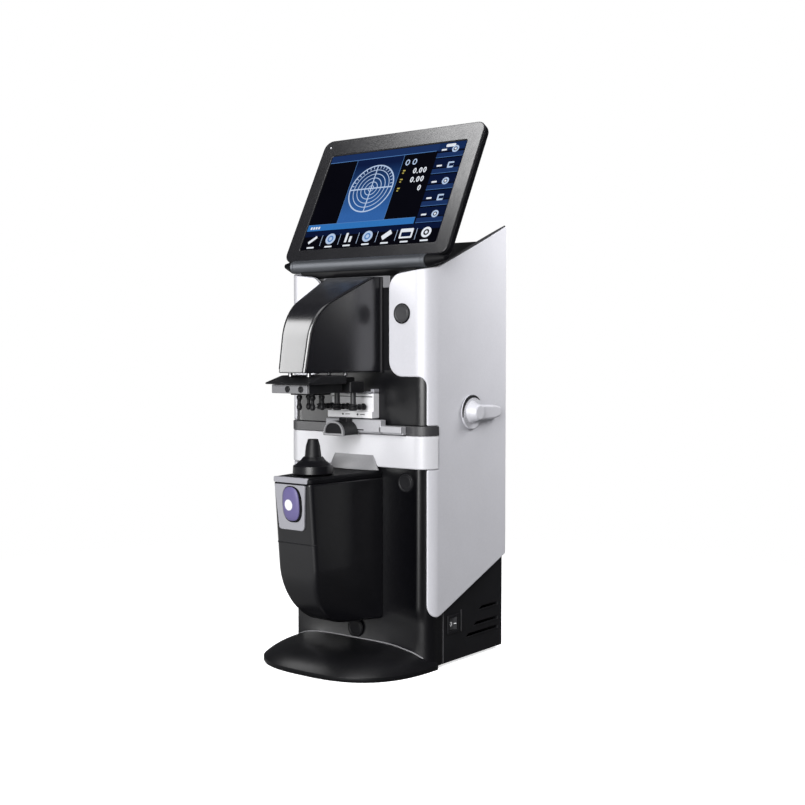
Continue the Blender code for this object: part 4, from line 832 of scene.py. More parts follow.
class Effects:
    """Builds each shared shader group once; a method of the group's name joins its inputs to its output."""

    KINDS = {"Colour": "NodeSocketColor", "Stretch": "NodeSocketVector"}

    @classmethod
    def group(cls, effect: Effect) -> bpy.types.NodeTree:
        """Return an effect's group.

        Args:
            effect: the effect.

        Returns:
            Its node tree, built at its first use.
        """
        name, inputs, output = effect.value
        if name in bpy.data.node_groups:
            return bpy.data.node_groups[name]
        tree = bpy.data.node_groups.new(name, "ShaderNodeTree")
        for way, sockets in (("INPUT", inputs), ("OUTPUT", (output,))):
            for socket in sockets:
                kind = cls.KINDS.get(socket, "NodeSocketFloat")
                tree.interface.new_socket(name=socket, in_out=way, socket_type=kind)
        graph = Graph(tree)
        made = getattr(cls, name)(graph, graph.add("NodeGroupInput").outputs)
        graph.add("NodeGroupOutput", {output: made})
        return tree

    @staticmethod
    def tone_mottle(graph: Graph, taken: dict[str, Socket]) -> Socket:
        """Vary a colour by slow and fine noise, as uneven pigment does.

        Args:
            graph: the group's nodes.
            taken: its inputs.

        Returns:
            Its output.
        """
        slow, fine = graph.noise(taken["Scale"], 3.0), graph.noise(graph.times(taken["Scale"], 23.0), 2.0)
        less, more = (graph.math(how, 1.0, taken["Amount"]) for how in ("SUBTRACT", "ADD"))
        tone = graph.span(graph.times(graph.math("ADD", slow, fine), 0.5), (0.35, 0.65), less, more)
        return graph.blend(1.0, taken["Colour"], tone, "MULTIPLY")

    @staticmethod
    def mould_grain(graph: Graph, taken: dict[str, Socket]) -> Socket:
        """Give the height of a fine moulded or brushed grain."""
        stretched = graph.vectors("MULTIPLY", graph.place(), taken["Stretch"]).outputs[0]
        return graph.noise(taken["Scale"], 3.0, stretched)

    @staticmethod
    def handling_sheen(graph: Graph, taken: dict[str, Socket]) -> Socket:
        """Vary roughness in broad patches, as handling and wiping do.

        Args:
            graph: the group's nodes.
            taken: its inputs.

        Returns:
            Its output.
        """
        broad, fine = graph.times(graph.noise(16.0, 4.0), 0.7), graph.times(graph.noise(170.0, 2.0), 0.3)
        both = graph.math("SUBTRACT", graph.math("ADD", broad, fine), 0.5)
        shift = graph.times(both, graph.times(taken["Amount"], 4.0))
        return graph.math("ADD", taken["Roughness"], shift)

    @staticmethod
    def resting_dust(graph: Graph, taken: dict[str, Socket]) -> Socket:
        """Lighten what faces up, unevenly, as thin dust does.

        Args:
            graph: the group's nodes.
            taken: its inputs.

        Returns:
            Its output.
        """
        normal = graph.add("ShaderNodeNewGeometry").outputs["Normal"]
        level = graph.span(graph.add("ShaderNodeSeparateXYZ", {0: normal}).outputs[2], (0.55, 1.0))
        patches = graph.span(graph.noise(60.0, 5.0), (0.35, 0.7), 0.3)
        share = graph.times(graph.times(level, patches), taken["Amount"])
        return graph.blend(share, taken["Colour"], (0.42, 0.41, 0.40, 1.0))

    @staticmethod
    def edge_wear(graph: Graph, taken: dict[str, Socket]) -> Socket:
        """Lighten edges, where a rounded normal leaves the true one, broken up by noise.

        Args:
            graph: the group's nodes.
            taken: its inputs.

        Returns:
            Its output.
        """
        true = graph.add("ShaderNodeNewGeometry").outputs["Normal"]
        soft = graph.add("ShaderNodeBevel", {"Radius": 0.0007}, samples=4).outputs[0]
        edge = graph.span(graph.vectors("DOT_PRODUCT", true, soft).outputs["Value"], (0.99, 0.85))
        patches = graph.span(graph.noise(220.0, 4.0), (0.4, 0.62), 0.2)
        share = graph.times(graph.times(edge, patches), taken["Amount"])
        return graph.blend(share, taken["Colour"], (0.5, 0.5, 0.51, 1.0))


@dataclass(frozen=True)
class Finish:
    """A surface finish: its colour and gloss, and how both vary over a piece."""

    name: str
    slot: str
    colour: Triple
    roughness: float
    metallic: float = 0.0
    coat: float = 0.0
    coat_roughness: float = 0.08
    specular: float = 0.5
    mottle: float = 0.05
    mottle_scale: float = 24.0
    sheen: float = 0.05
    grain_scale: float = 1400.0
    grain_depth: float = 0.05
    stretch: Triple = (1.0, 1.0, 1.0)
    dust: float = 0.0
    wear: float = 0.0

    def material(self) -> bpy.types.Material:
        """Build the finish's material at its first use.

        Returns:
            The material.
        """
        if self.name in bpy.data.materials:
            return bpy.data.materials[self.name]
        made = bpy.data.materials.new(self.name)
        made.use_nodes = True
        self.dress(Graph(made.node_tree))
        return made

    def dress(self, graph: Graph) -> bpy.types.Node:
        """Fill the material: tone, wear and dust to the colour, sheen to the roughness, grain to the bump.

        Args:
            graph: the material's nodes.

        Returns:
            The shader.
        """
        colour = (*self.colour, 1.0)
        tone = graph.effect(Effect.MOTTLE, Colour=colour, Amount=self.mottle, Scale=self.mottle_scale)
        for effect, amount in ((Effect.WEAR, self.wear), (Effect.DUST, self.dust)):
            tone = graph.effect(effect, Colour=tone, Amount=amount) if amount else tone
        gloss = graph.effect(Effect.SHEEN, Roughness=self.roughness, Amount=self.sheen)
        grain = graph.effect(Effect.GRAIN, Scale=self.grain_scale, Stretch=self.stretch)
        bump = {"Strength": self.grain_depth, "Distance": 0.0004, "Height": grain}
        normal = graph.add("ShaderNodeBump", bump).outputs[0]
        shader = graph.add("ShaderNodeBsdfPrincipled", {
            "Base Color": tone, "Roughness": gloss, "Metallic": self.metallic, "Coat Weight": self.coat,
            "Coat Roughness": self.coat_roughness, "Specular IOR Level": self.specular, "Normal": normal})
        graph.add("ShaderNodeOutputMaterial", {"Surface": shader.outputs[0]})
        return shader


@dataclass(frozen=True)
class Glow(Finish):
    """A lit part of the screen: its light is broken up by the screen's fine rows of dots."""

    light: Triple = (0.0, 0.0, 0.0)
    upper: Triple | None = None
    levels: tuple[float, float] = (0.0, 1.0)

    def dress(self, graph: Graph) -> bpy.types.Node:
        """Fill the material, and let it shine in the colour of its light, which may change with height.

        Args:
            graph: the material's nodes.

        Returns:
            The shader.
        """
        shader = super().dress(graph)
        dots = graph.span(graph.noise(4200.0, 0.0), (0.3, 0.7), 0.82, 1.12)
        colour = (*self.light, 1.0)
        if self.upper:
            height = graph.add("ShaderNodeSeparateXYZ", {0: graph.place()}).outputs[2]
            colour = graph.blend(graph.span(height, self.levels), colour, (*self.upper, 1.0))
        lit = graph.blend(1.0, colour, dots, "MULTIPLY")
        graph.tree.links.new(lit, shader.inputs["Emission Color"])
        shader.inputs["Emission Strength"].default_value = 1.0
        return shader


@dataclass(frozen=True)
class Glass(Finish):
    """Clear glass with a faint tint."""

    def dress(self, graph: Graph) -> bpy.types.Node:
        """Fill the material, and let light through it.

        Args:
            graph: the material's nodes.

        Returns:
            The shader.
        """
        shader = super().dress(graph)
        shader.inputs["Transmission Weight"].default_value = 1.0
        shader.inputs["IOR"].default_value = 1.5
        return shader


def glow(name: str, light: Triple, **more: object) -> Glow:
    """Return the finish of a lit field of the screen: black when unlit, and this colour of light."""
    return Glow("screen_" + name, "screen", (0.001, 0.001, 0.002), 0.12, specular=0.03, sheen=0.02,
                grain_depth=0.0, light=light, **more)


SILVER = Finish("silver_satin_paint", "silver_paint", (0.60, 0.60, 0.64), 0.46, metallic=0.12, coat=0.15,
                coat_roughness=0.34, mottle=0.025, grain_scale=2600, grain_depth=0.04, dust=0.02)
WHITE = Finish("white_satin_paint", "white_paint", (0.58, 0.58, 0.61), 0.34, coat=0.2, coat_roughness=0.2,
               mottle=0.02, grain_scale=2400, grain_depth=0.03, dust=0.03)
HOOD = Finish("black_satin_hood", "black_gloss", (0.004, 0.004, 0.006), 0.24, specular=0.9, coat=0.6,
              coat_roughness=0.2, mottle=0.25, sheen=0.03, grain_scale=900, grain_depth=0.015, dust=0.008,
              wear=0.03)
GLOSS = Finish("black_satin_pod", "black_gloss", (0.004, 0.004, 0.0055), 0.30, mottle=0.25, sheen=0.03,
               grain_scale=900, grain_depth=0.02, dust=0.006, wear=0.03)
PANEL = Finish("black_satin_panel", "black_gloss", (0.002, 0.002, 0.003), 0.32, mottle=0.2, grain_scale=1800,
               grain_depth=0.03, dust=0.006)
TONGUE = Finish("black_satin_tongue", "black_gloss", (0.003, 0.003, 0.004), 0.32, mottle=0.2,
                grain_scale=1600, dust=0.005, wear=0.03)
BEZEL = Finish("graphite_satin_bezel", "black_gloss", (0.012, 0.012, 0.014), 0.24, metallic=0.1, mottle=0.12,
               grain_scale=2200, grain_depth=0.04, wear=0.04)
MATTE = Finish("black_moulded_plastic", "black_matte", (0.008, 0.008, 0.0095), 0.46, specular=0.3,
               mottle=0.25, grain_scale=1500, grain_depth=0.10, dust=0.012, wear=0.04)
DARK = Finish("dark_grey_moulding", "dark_grey", (0.035, 0.035, 0.038), 0.40, mottle=0.12, grain_scale=1700,
              grain_depth=0.08, wear=0.08)
# Mid grey moulding for the ramp and the top strip; on the foot's bead the same grey is a painted highlight.
MID = Finish("mid_grey_moulding", "dark_grey", (0.17, 0.17, 0.18), 0.40, mottle=0.06, grain_scale=1800,
             grain_depth=0.06, wear=0.05)
LIGHT = Finish("light_grey_moulding", "light_grey", (0.32, 0.32, 0.35), 0.38, mottle=0.03, grain_scale=2000,
               wear=0.05)
GREY = Finish("grey_bar_moulding", "light_grey", (0.21, 0.21, 0.22), 0.38, mottle=0.04, grain_scale=2000,
              grain_depth=0.06, wear=0.05)
BARREL = Finish("barrel_grey_lacquer", "barrel_grey", (0.07, 0.075, 0.085), 0.42, metallic=0.5, mottle=0.06,
                grain_scale=1800, grain_depth=0.04, stretch=(0.15, 1.0, 1.0))
ALUMINIUM = Finish("brushed_aluminium", "aluminium", (0.54, 0.54, 0.57), 0.42, metallic=0.3, mottle=0.04,
                   grain_scale=1500, grain_depth=0.08, stretch=(0.06, 1.0, 1.0))
STEEL = Finish("ground_steel", "steel", (0.40, 0.40, 0.41), 0.32, metallic=1.0, mottle=0.08, grain_depth=0.10,
               stretch=(1.0, 1.0, 0.08))
BRASS = Finish("turned_brass", "brass", (0.55, 0.40, 0.16), 0.32, metallic=1.0, mottle=0.08, grain_scale=1600,
               grain_depth=0.08)
CASE = Finish("white_case_plastic", "white_paint", (0.74, 0.74, 0.76), 0.40, mottle=0.02, grain_scale=2200,
              grain_depth=0.04, dust=0.03)
RUBBER = Finish("black_rubber", "rubber", (0.018, 0.018, 0.018), 0.75, mottle=0.3, grain_scale=900,
                grain_depth=0.25, dust=0.05)
PURPLE = Finish("purple_button_plastic", "button_purple", (0.125, 0.108, 0.25), 0.45, mottle=0.04,
                grain_scale=1600, grain_depth=0.03)
BOARD = Finish("green_circuit_board", "circuit_board", (0.02, 0.12, 0.05), 0.42, mottle=0.35,
               mottle_scale=160, grain_scale=500, grain_depth=0.2)
# Near-black soft plastic for the tray, the lid and the cap rings. On the hinge ears it is darker than their
# plastic, which is partly painted shade. The same finish is also laid as painted shade on the sheet behind
# the head, the ring beside the button and the table's slot.
SHADE = Finish("black_soft_plastic", "black_matte", (0.003, 0.003, 0.004), 0.55, specular=0.14, mottle=0.2,
               grain_scale=1500, grain_depth=0.08)
MARKING = Finish("white_printed_marking", "white_paint", (0.78, 0.78, 0.80), 0.45, mottle=0.04)
# Black print for the dial's dots; the dial's crescent in the same black is painted shade.
TICK_AND_SHADE = Finish("black_printed_marking", "black_matte", (0.02, 0.02, 0.022), 0.45, mottle=0.1)
OPTIC = Glass("coated_optical_glass", "optical_glass", (0.86, 0.90, 0.95), 0.03, mottle=0.02, sheen=0.005,
              grain_depth=0.0)
SCREEN = glow("black", (0.001, 0.001, 0.002), mottle=0.2)
GLOW_BLUE = glow("blue", (0.028, 0.165, 0.470))
GLOW_DEEP = glow("deep_blue", (0.010, 0.030, 0.110))
GLOW_NAVY = glow("navy", (0.002, 0.007, 0.034))
GLOW_SKY = glow("light_blue", (0.09, 0.22, 0.50))
GLOW_PALE = glow("pale_blue", (0.46, 0.58, 0.78))
GLOW_WHITE = glow("white", (0.78, 0.82, 0.88))
GLOW_AMBER = glow("amber", (0.50, 0.42, 0.10))


@dataclass
class Tower:
    """The upright body: silver shells, black front panels, shelf band, covers and hinge."""

    gap: float = 0.0003
    wall: float = 0.0027
    edge: float = 0.0013
    lobe_inner: float = 0.0408
    lobe_bottom: float = 0.2684
    lobe_round: float = 0.015
    notch_round: float = 0.009
    toe: float = 0.043
    toe_round: float = 0.012
    toe_slope: float = tan(radians(21.9))
    top_slope: float = tan(radians(22.1))
    deck_slope: float = tan(radians(17.8))
    trim: float = 0.0015
    panel_front: float = 0.003
    panel_back: float = 0.0055
    collar_proud: float = 0.0008
    swell: float = 0.0019
    swell_start: float = 0.067
    swell_end: float = 0.0730
    swell_fade: float = 0.0085
    swell_foot: float = 0.012
    flare: float = 0.0036
    flare_foot: float = 0.018
    flare_height: float = 0.024
    flare_half: float = 0.055
    flare_fade: float = 0.02
    strip: float = 0.011
    seal_foot: float = 0.274
    bottom_cap_proud: float = 0.0017
    slot_half: float = 0.034
    screw_inset: float = 0.009
    skin: Skin = field(default_factory=Skin.of_tower)

    def build(self) -> None:
        """Build and dress every piece of the tower."""
        self.shells()
        self.panels()
        self.band()
        self.caps()
        self.covers()
        self.hinge()

    def shell_corners(self) -> tuple[Array, Array]:
        """Draw the right shell along the skin and up, with its lobe and the shelf's notch.

        Returns:
            Its corners and their radii.
        """
        shell, liner, collar = Box.of("right_side_shell", "shelf_liner", "shelf_collar")
        top_front = Box.of("upper_front_panel").high[2] + self.gap
        depth, start = shell.size[1], self.skin.side_start
        back = self.skin.along_side(depth)
        middle = self.skin.flat + self.skin.corner * pi / 4
        top, bottom = liner.high[2] + self.gap, collar.low[2] - self.gap
        corners = [(back, self.toe + self.toe_slope * (back - middle)),
                   (back, top_front + self.top_slope * depth),
                   (start, top_front + self.top_slope * self.skin.corner), (self.lobe_inner, top_front),
                   (self.lobe_inner, self.lobe_bottom), (middle, self.lobe_bottom), (middle, top),
                   (start, top), (start, bottom), (middle, bottom), (middle, self.toe)]
        radii = [0.002, 0.002, 0.004, self.lobe_round, self.lobe_round, self.notch_round, 0.0018, 0.0006,
                 0.0006, 0.0018, self.toe_round]
        return np.array(corners), np.array(radii)

    def shells(self) -> None:
        """Bend each shell round its corner as one soft-edged plate, with a dark trim along its top."""
        corners, radii = self.shell_corners()
        lattice = self.skin.lattice(corners[:, 1].min(), corners[:, 1].max(), corners[:, 0].max())
        edge = outline(corners, radii, 10, 0.003)
        rim = soft_rim(0.0, self.wall, self.edge)
        for name, place in (("right_side_shell", self.skin.place), ("left_side_shell", self.skin.mirrored)):
            Surface().plate([edge], rim, place, lattice).piece(name + "_skin", SILVER, name)
        trims = Surface()
        share = np.linspace(0, 1, 30)
        start = corners[2] + (0.004, 0.004 * self.top_slope)
        back = corners[1] - (0.002, 0.002 * self.top_slope)
        run = start + share[:, None] * (back - start)
        for side in (-1, 1):
            path = self.skin.place(side * run[:, 0], run[:, 1] + 0.0002, self.wall / 2 + 0 * share)
            trims.tube(path, self.trim * np.sin(pi * np.clip(share, 0.03, 0.97)) ** 0.2)
        trims.piece("shell_top_trims", DARK)

    def flared(self, along: Array, level: Array, depth: Array) -> Array:
        """Bend the lower panel, which swells beside its corners and flares out towards the foot.

        Args:
            along: lengths along the skin.
            level: heights.
            depth: depths under the skin.

        Returns:
            The points in space.
        """
        reach = np.abs(along)
        rise = ease((reach - self.swell_start) / (self.swell_end - self.swell_start))
        swell = self.swell * rise * (1 - ease((reach - self.swell_end) / self.swell_fade))
        swell = swell * ease((level - self.toe) / self.swell_foot)
        low = np.clip(1 - (level - self.flare_foot) / self.flare_height, 0, 1)
        flare = self.flare * low ** 2 * (1 - ease((reach - self.flare_half) / self.flare_fade))
        return self.skin.place(along, level, depth - swell - flare)

    def bent(self, box: Box, reach: float, corner: float, rim: Array, holes: tuple[Ring, ...] = (),
             steps: int = 3, place: Place | None = None, more: tuple[Array, ...] = ()) -> Surface:
        """Bend a plate round the tower's front.

        Args:
            box: the CAD node that gives its levels.
            reach: half its length along the skin.
            corner: radius of its corners.
            rim: its edge.
            holes: holes through it.
            steps: chords in each corner.
            place: maps it to space, if not the skin does.
            more: more spare points for its faces.

        Returns:
            The surface.
        """
        low, high = box.low[2], box.high[2]
        edge = tablet((-reach, low), (reach, high), corner, steps, step=0.003)
        lattice = np.vstack([self.skin.lattice(low, high, reach), *more])
        return Surface().plate([edge, *holes], rim, place or self.skin.place, lattice)

    def panels(self) -> None:
        """Bend the two front panels, and lay a light strip and a dark matte sheet between the lobes, which is
        painted shade behind the head.
        """
        lower, upper = Box.of("lower_front_panel", "upper_front_panel")
        reach = self.skin.along_side(lower.high[1] - self.skin.front)
        low = self.skin.lattice(self.flare_foot, self.flare_foot + self.flare_height, reach) + (0, 0.0011)
        rows = (low, low + (0, 0.0027), low + (0, 0.0053))
        rim = soft_rim(self.panel_front, self.panel_back, 0.0005)
        made = self.bent(lower, reach, 0.001, rim, place=self.flared, more=rows)
        made.piece("lower_front_panel_skin", PANEL, "lower_front_panel")
        self.bent(upper, reach, 0.001, rim).piece("upper_front_panel_skin", PANEL, "upper_front_panel")
        half, top = self.lobe_inner - self.gap, upper.high[2]
        edge = tablet((-half, top - self.strip), (half, top), 0.001)
        rim = soft_rim(self.panel_front - 0.0008, 0.0045, 0.0006)
        Surface().plate([edge], rim, self.skin.place).piece("panel_top_strip", MID)
        # A near-black matte sheet over the black panel between the lobes: painted shade in the gap behind the
        # head.
        edge = tablet((-half, self.seal_foot), (half, top - self.strip), 0.001)
        rim = soft_rim(self.panel_front - 0.0002, 0.003, 0.0001)
        Surface().plate([edge], rim, self.skin.place).piece("head_seal", SHADE)

    def band(self) -> None:
        """Bend the white shelf band and the black lining strip above it."""
        collar, liner, rack, rod = Box.of("shelf_collar", "shelf_liner", "table_rack", "table_rod")
        reach, play = self.skin.side_start - self.gap, 0.0004
        rim = soft_rim(-self.collar_proud, self.wall, 0.0011)
        self.bent(collar, reach, 0.0012, rim, steps=4).piece("shelf_band", WHITE, "shelf_collar")
        low, high = (rack.low[0] - play, rack.low[2] - play), (rack.high[0] + play, rack.low[2] + 0.0049)
        slot = tablet(low, high, 0.0003, 2, True)
        bore = oval(rod.middle[[0, 2]], rod.size[0] / 2 + play, rod.size[2] / 2 + play, 24, True)
        made = self.bent(liner, reach, 0.0008, soft_rim(-0.001, self.wall, play), (slot, bore))
        made.piece("shelf_lining", DARK, "shelf_liner")

    def caps(self) -> None:
        """Turn the five screw covers: a low crown inside a fine ring groove."""
        crown = np.array([(0, 0.25), (0.55, 0.18), (0.72, 0.22), (0.78, 0.45), (0.84, 0.1), (0.94, 0),
                          (1, 0.4), (1, 1), (0, 1)])
        groove = np.array([(0.1, 0.5), (0.4, 0.3), (1.0, 0.6), (1.0, 1), (0.1, 1), (0.1, 0.5)])
        rounds = np.array([3.0, 0.6, 0.3, 0.3, 0.3, 0.4, 0.1])
        for place in ("upper_right", "upper_left", "lower_right", "lower_left", "bottom"):
            name = "screw_cap_" + place
            box = Box.of(name)
            radius, thick = box.size[0] / 2, box.size[1]
            proud = self.bottom_cap_proud if place == "bottom" else 0.0
            centre = (box.middle[0], box.low[1] - proud, box.middle[2])
            finish = DARK if place.startswith("upper") else MATTE
            cover = Surface().turned(crown * (radius, thick), rounds * thick / MM, centre, "Y", 48)
            cover.piece(name + "_cover", finish, name)
            ring = groove * (MM, thick) + (radius, 0)
            Surface().turned(ring, (), centre, "Y", 48).piece(name + "_ring", SHADE)

    def covers(self) -> None:
        """Lay the sloping top cover, and the rear cover with its slots and screws, as soft-edged plates."""
        top, rear = Box.of("top_cover", "rear_cover")
        length = np.hypot(top.size[1], self.deck_slope * top.size[1])
        lean = np.array([0.0, 1.0, self.deck_slope]) / np.hypot(1, self.deck_slope)
        thick = (top.size[2] - self.top_slope * top.size[1]) / np.hypot(1, self.top_slope)
        start = (0.0, top.low[1], top.high[2] - self.top_slope * top.size[1])
        edge = tablet((top.low[0], 0), (top.high[0], length), 0.003, 4)
        deck = Surface().plate([edge], soft_rim(0, thick, 0.0008), Plane(start, up=tuple(lean)).place)
        deck.piece("top_deck", MATTE, "top_cover")
        level = start[2] + self.deck_slope * top.size[1] - thick - self.gap
        edge = tablet((-rear.high[0], rear.low[2]), (-rear.low[0], level), 0.003, 4)
        plane = Plane((0, rear.high[1], 0), (-1, 0, 0))
        slots = [tablet((-self.slot_half, low), (self.slot_half, low + 0.0026), 0.0012, 4, True)
                 for low in rear.low[2] + np.arange(0.030, 0.062, 0.0062)]
        panel = Surface().plate([edge, *slots], soft_rim(0, rear.size[1], 0.0008), plane.place)
        panel.piece("rear_panel", SILVER, "rear_cover")
        screws = Surface()
        for across in (rear.low[0] + self.screw_inset, rear.high[0] - self.screw_inset):
            for spot in (rear.low[2] + self.screw_inset, level - self.screw_inset):
                screws.screw(plane, (across, spot), -0.0008)
        screws.piece("rear_screws", STEEL)

    def hinge(self) -> None:
        """Turn the hinge barrel, with a groove near each end, and lay the saddle under it."""
        box, saddle = Box.of("hinge_barrel", "hinge_saddle")
        half, radius = box.size[0] / 2, box.size[2] / 2
        end = np.array([(-radius, 0), (0, 0), (0, 0.003), (-0.0005, 0.0034), (0, 0.0038)]) + (radius, -half)
        line = np.vstack([end, end[::-1] * (1, -1)])
        rounds = (0.8, 0.2, 0.2, 0.2, 0.2, 0.2, 0.2, 0.8)
        Surface().turned(line, rounds, box.middle, "X", 56, 3).piece("barrel", BARREL, "hinge_barrel")
        angle = np.linspace(-pi / 6, -pi + 0.9, 12)
        cradle = box.middle[[1, 2]] + (radius + self.gap) * np.stack([np.cos(angle), np.sin(angle)], 1)
        rest = [(saddle.low[1], cradle[-1, 1]), (saddle.low[1], saddle.low[2]),
                (saddle.high[1], saddle.low[2]), (saddle.high[1], cradle[0, 1])]
        section = np.vstack([cradle[:-1], rest])
        across = np.array([saddle.low[0], saddle.high[0]])
        points = np.stack(np.broadcast_arrays(across[:, None], section[:, 0], section[:, 1]), -1)
        Surface().stack(points).piece("barrel_saddle", PANEL, "hinge_saddle")


@dataclass
class Foot:
    """The domed tongue in front of the tower: half a superellipse in plan."""

    power: float = 2.75
    dome: float = 5.0
    rim: float = 0.0045
    seat: float = 0.0133
    fit: float = 0.0833
    columns: int = 161
    rows: int = 36
    bead_half: float = 0.079
    bead_radius: float = 0.0008

    def bead(self, half: float, centre: float, reach: float, height: float) -> None:
        """Run a fine bead along the line where the lower panel meets the dome, found by three passes; its
        grey on the black is a painted highlight.

        Args:
            half: half the tongue's width.
            centre: how far back its widest line is.
            reach: its length from there.
            height: its height at the tower.
        """
        tower = Tower()
        along = np.linspace(-self.bead_half, self.bead_half, 120)
        level = np.full(len(along), 0.016)
        for _ in range(3):
            path = tower.flared(along, level, np.full(len(along), tower.panel_front - 0.0002))
            share = (np.abs(path[:, 0] / half) ** self.power
                     + np.abs((centre - path[:, 1]) / reach) ** self.power) ** (1 / self.power)
            level = self.rim + (height - self.rim) * (1 - np.minimum(share, 1) ** self.dome)
        # Mid grey on black: a painted highlight along the junction.
        Surface().tube(path, self.bead_radius).piece("foot_bead", MID)

    def build(self) -> None:
        """Build the foot as a grid: shares of the way out to the rim, from the tower's front line to 1."""
        box, skin = Box.of("front_foot"), Skin.of_tower()
        half, centre = box.size[0] / 2, skin.front + skin.corner
        reach = centre - box.low[1]
        angle = np.linspace(0, pi, self.columns)
        across = half * np.abs(np.cos(angle)) ** (2 / self.power) * np.sign(np.cos(angle))
        ahead = reach * np.sin(angle) ** (2 / self.power)
        bend = self.fit - self.seat
        along = bend * np.abs(across)
        square = across ** 2 + ahead ** 2
        curved = (along + np.sqrt(np.maximum(along ** 2 - square * (bend ** 2 - self.seat ** 2), 0))) / square
        straight = self.seat / np.maximum(ahead, 1e-9)
        inner = np.where(straight * np.abs(across) <= bend, straight, curved)
        share = inner + (1 - inner) * np.sin(np.linspace(0, pi / 2, self.rows))[:, None]
        rise = self.rim + (box.high[2] - self.rim) * (1 - share ** self.dome)
        rows = [np.stack([share * across, centre - share * ahead, rise], -1)]
        for height, out in ((0.0030, 1.0), (0.0012, 1.0), (0.0, 0.992)):
            rows.append(np.stack([out * across, centre - out * ahead, height + 0 * angle], -1)[None])
        upper = np.concatenate(rows)
        floor = np.stack([inner * across, centre - inner * ahead, 0 * angle], -1)
        made = Surface().grid(upper).grid(np.stack([upper[-1], floor, upper[0]]))
        for end in (0, -1):
            made.cap(np.vstack([upper[:, end], floor[end]]))
        made.piece("foot_tongue", TONGUE, "front_foot")
        self.bead(half, centre, reach, box.high[2])


@dataclass
class Hull:
    """A form made of level rings: a face at the front, two soft edges, and sides that widen to the tower."""

    edge: float
    rear_half: float
    seat: float
    rear_round: float = 0.0006
    steps: int = 7
    step: float = 0.006

    def rings(self, front: Array, half: Array, level: Array, inset: Array) -> Array:
        """Round the corners of all rings at once, and cut their long edges up alike.

        Args:
            front: how far forward each ring's face is.
            half: half the face's width.
            level: the ring's height.
            inset: how far the ring is drawn in, except at the tower.

        Returns:
            One row of points for each ring.
        """
        rear, seat = self.rear_half + 0 * front, self.seat + inset
        corners = np.array([(-half, front), (half, front), (rear, seat), (-rear, seat)]).transpose(2, 0, 1)
        radii = np.array([self.edge, self.edge, self.rear_round, self.rear_round])
        rows = [rounded_outline(row, radii, drawn, self.steps) for row, drawn in zip(corners, inset)]
        counts = edge_counts(rows[int(np.argmax([np.ptp(row) for row in rows]))], self.step)
        flat = np.array([densify(row, counts) for row in rows])
        height = np.broadcast_to(level[:, None, None], (*flat.shape[:2], 1))
        return np.concatenate([flat, height], -1)


@dataclass
class Head:
    """The measuring head: a leaning face, a round brow and a sloping roof."""

    lean: float = tan(radians(9.93))
    pitch: float = tan(radians(25.92))
    brow: float = 0.045
    nose_half: float = 0.0162
    edge: float = 0.004
    seat: float = 0.0027
    trim: float = 0.00055
    lift: float = 0.0008

    def build(self) -> None:
        """Build the cover with its rolled lip, a fine ridge along each edge of its face, and its flanges."""
        box, front = Box.of("head_cover"), Skin.of_tower().front
        reach = front - box.low[1]
        roof_end = 2 * self.edge
        height = box.size[2] + self.pitch * roof_end
        corner_up = (height - self.pitch * reach) / (1 - self.pitch * self.lean)
        line = [(-reach, 0), (-reach + self.lean * corner_up, corner_up), (-roof_end, box.size[2])]
        line = evenly(rounded_line(line, [self.brow], 60), 90)
        rear = box.size[0] / 2
        lips = np.array([(0.0030, 0.0040), (0.0030, 0.0004), (0.0026, 0.0), (0.0008, 0.0), (0.0002, 0.0003)])
        depth = np.concatenate([-reach + self.lean * lips[:, 1], line[:, 0]])
        rise = np.concatenate([lips[:, 1], line[:, 1] + self.lift * np.linspace(1, 0, len(line)) ** 8])
        inset = np.concatenate([lips[:, 0], np.zeros(len(line))])
        half = self.nose_half + (rear - self.nose_half) * (depth + reach) / reach
        hull = Hull(self.edge, rear, front + self.seat)
        rings = hull.rings(front + depth, half, box.low[2] + rise, inset)
        Surface().stack(rings).piece("head_hood", HOOD, "head_cover")
        ridges, flanges = Surface(), Surface()
        outer = rings[len(lips):]
        for side in (-1, 1):
            column = np.argmin(np.abs(outer[0, :, 0] - side * (self.nose_half - 0.0004))
                               + np.abs(outer[0, :, 1] - outer[0, :, 1].min() - 0.0022))
            ridges.tube(outer[2:-4, column], self.trim, 10)
            ends = np.sort([side * (rear - 0.0006), side * (rear + 0.0018)])
            flange = Box((ends[0], front + 0.0006, box.low[2]), (ends[1], front + 0.0029, box.high[2]))
            flanges.slab(flange, "-Y", 0.8, 0.5)
        ridges.piece("head_edge_ridges", MATTE)
        flanges.piece("head_flanges", MATTE)


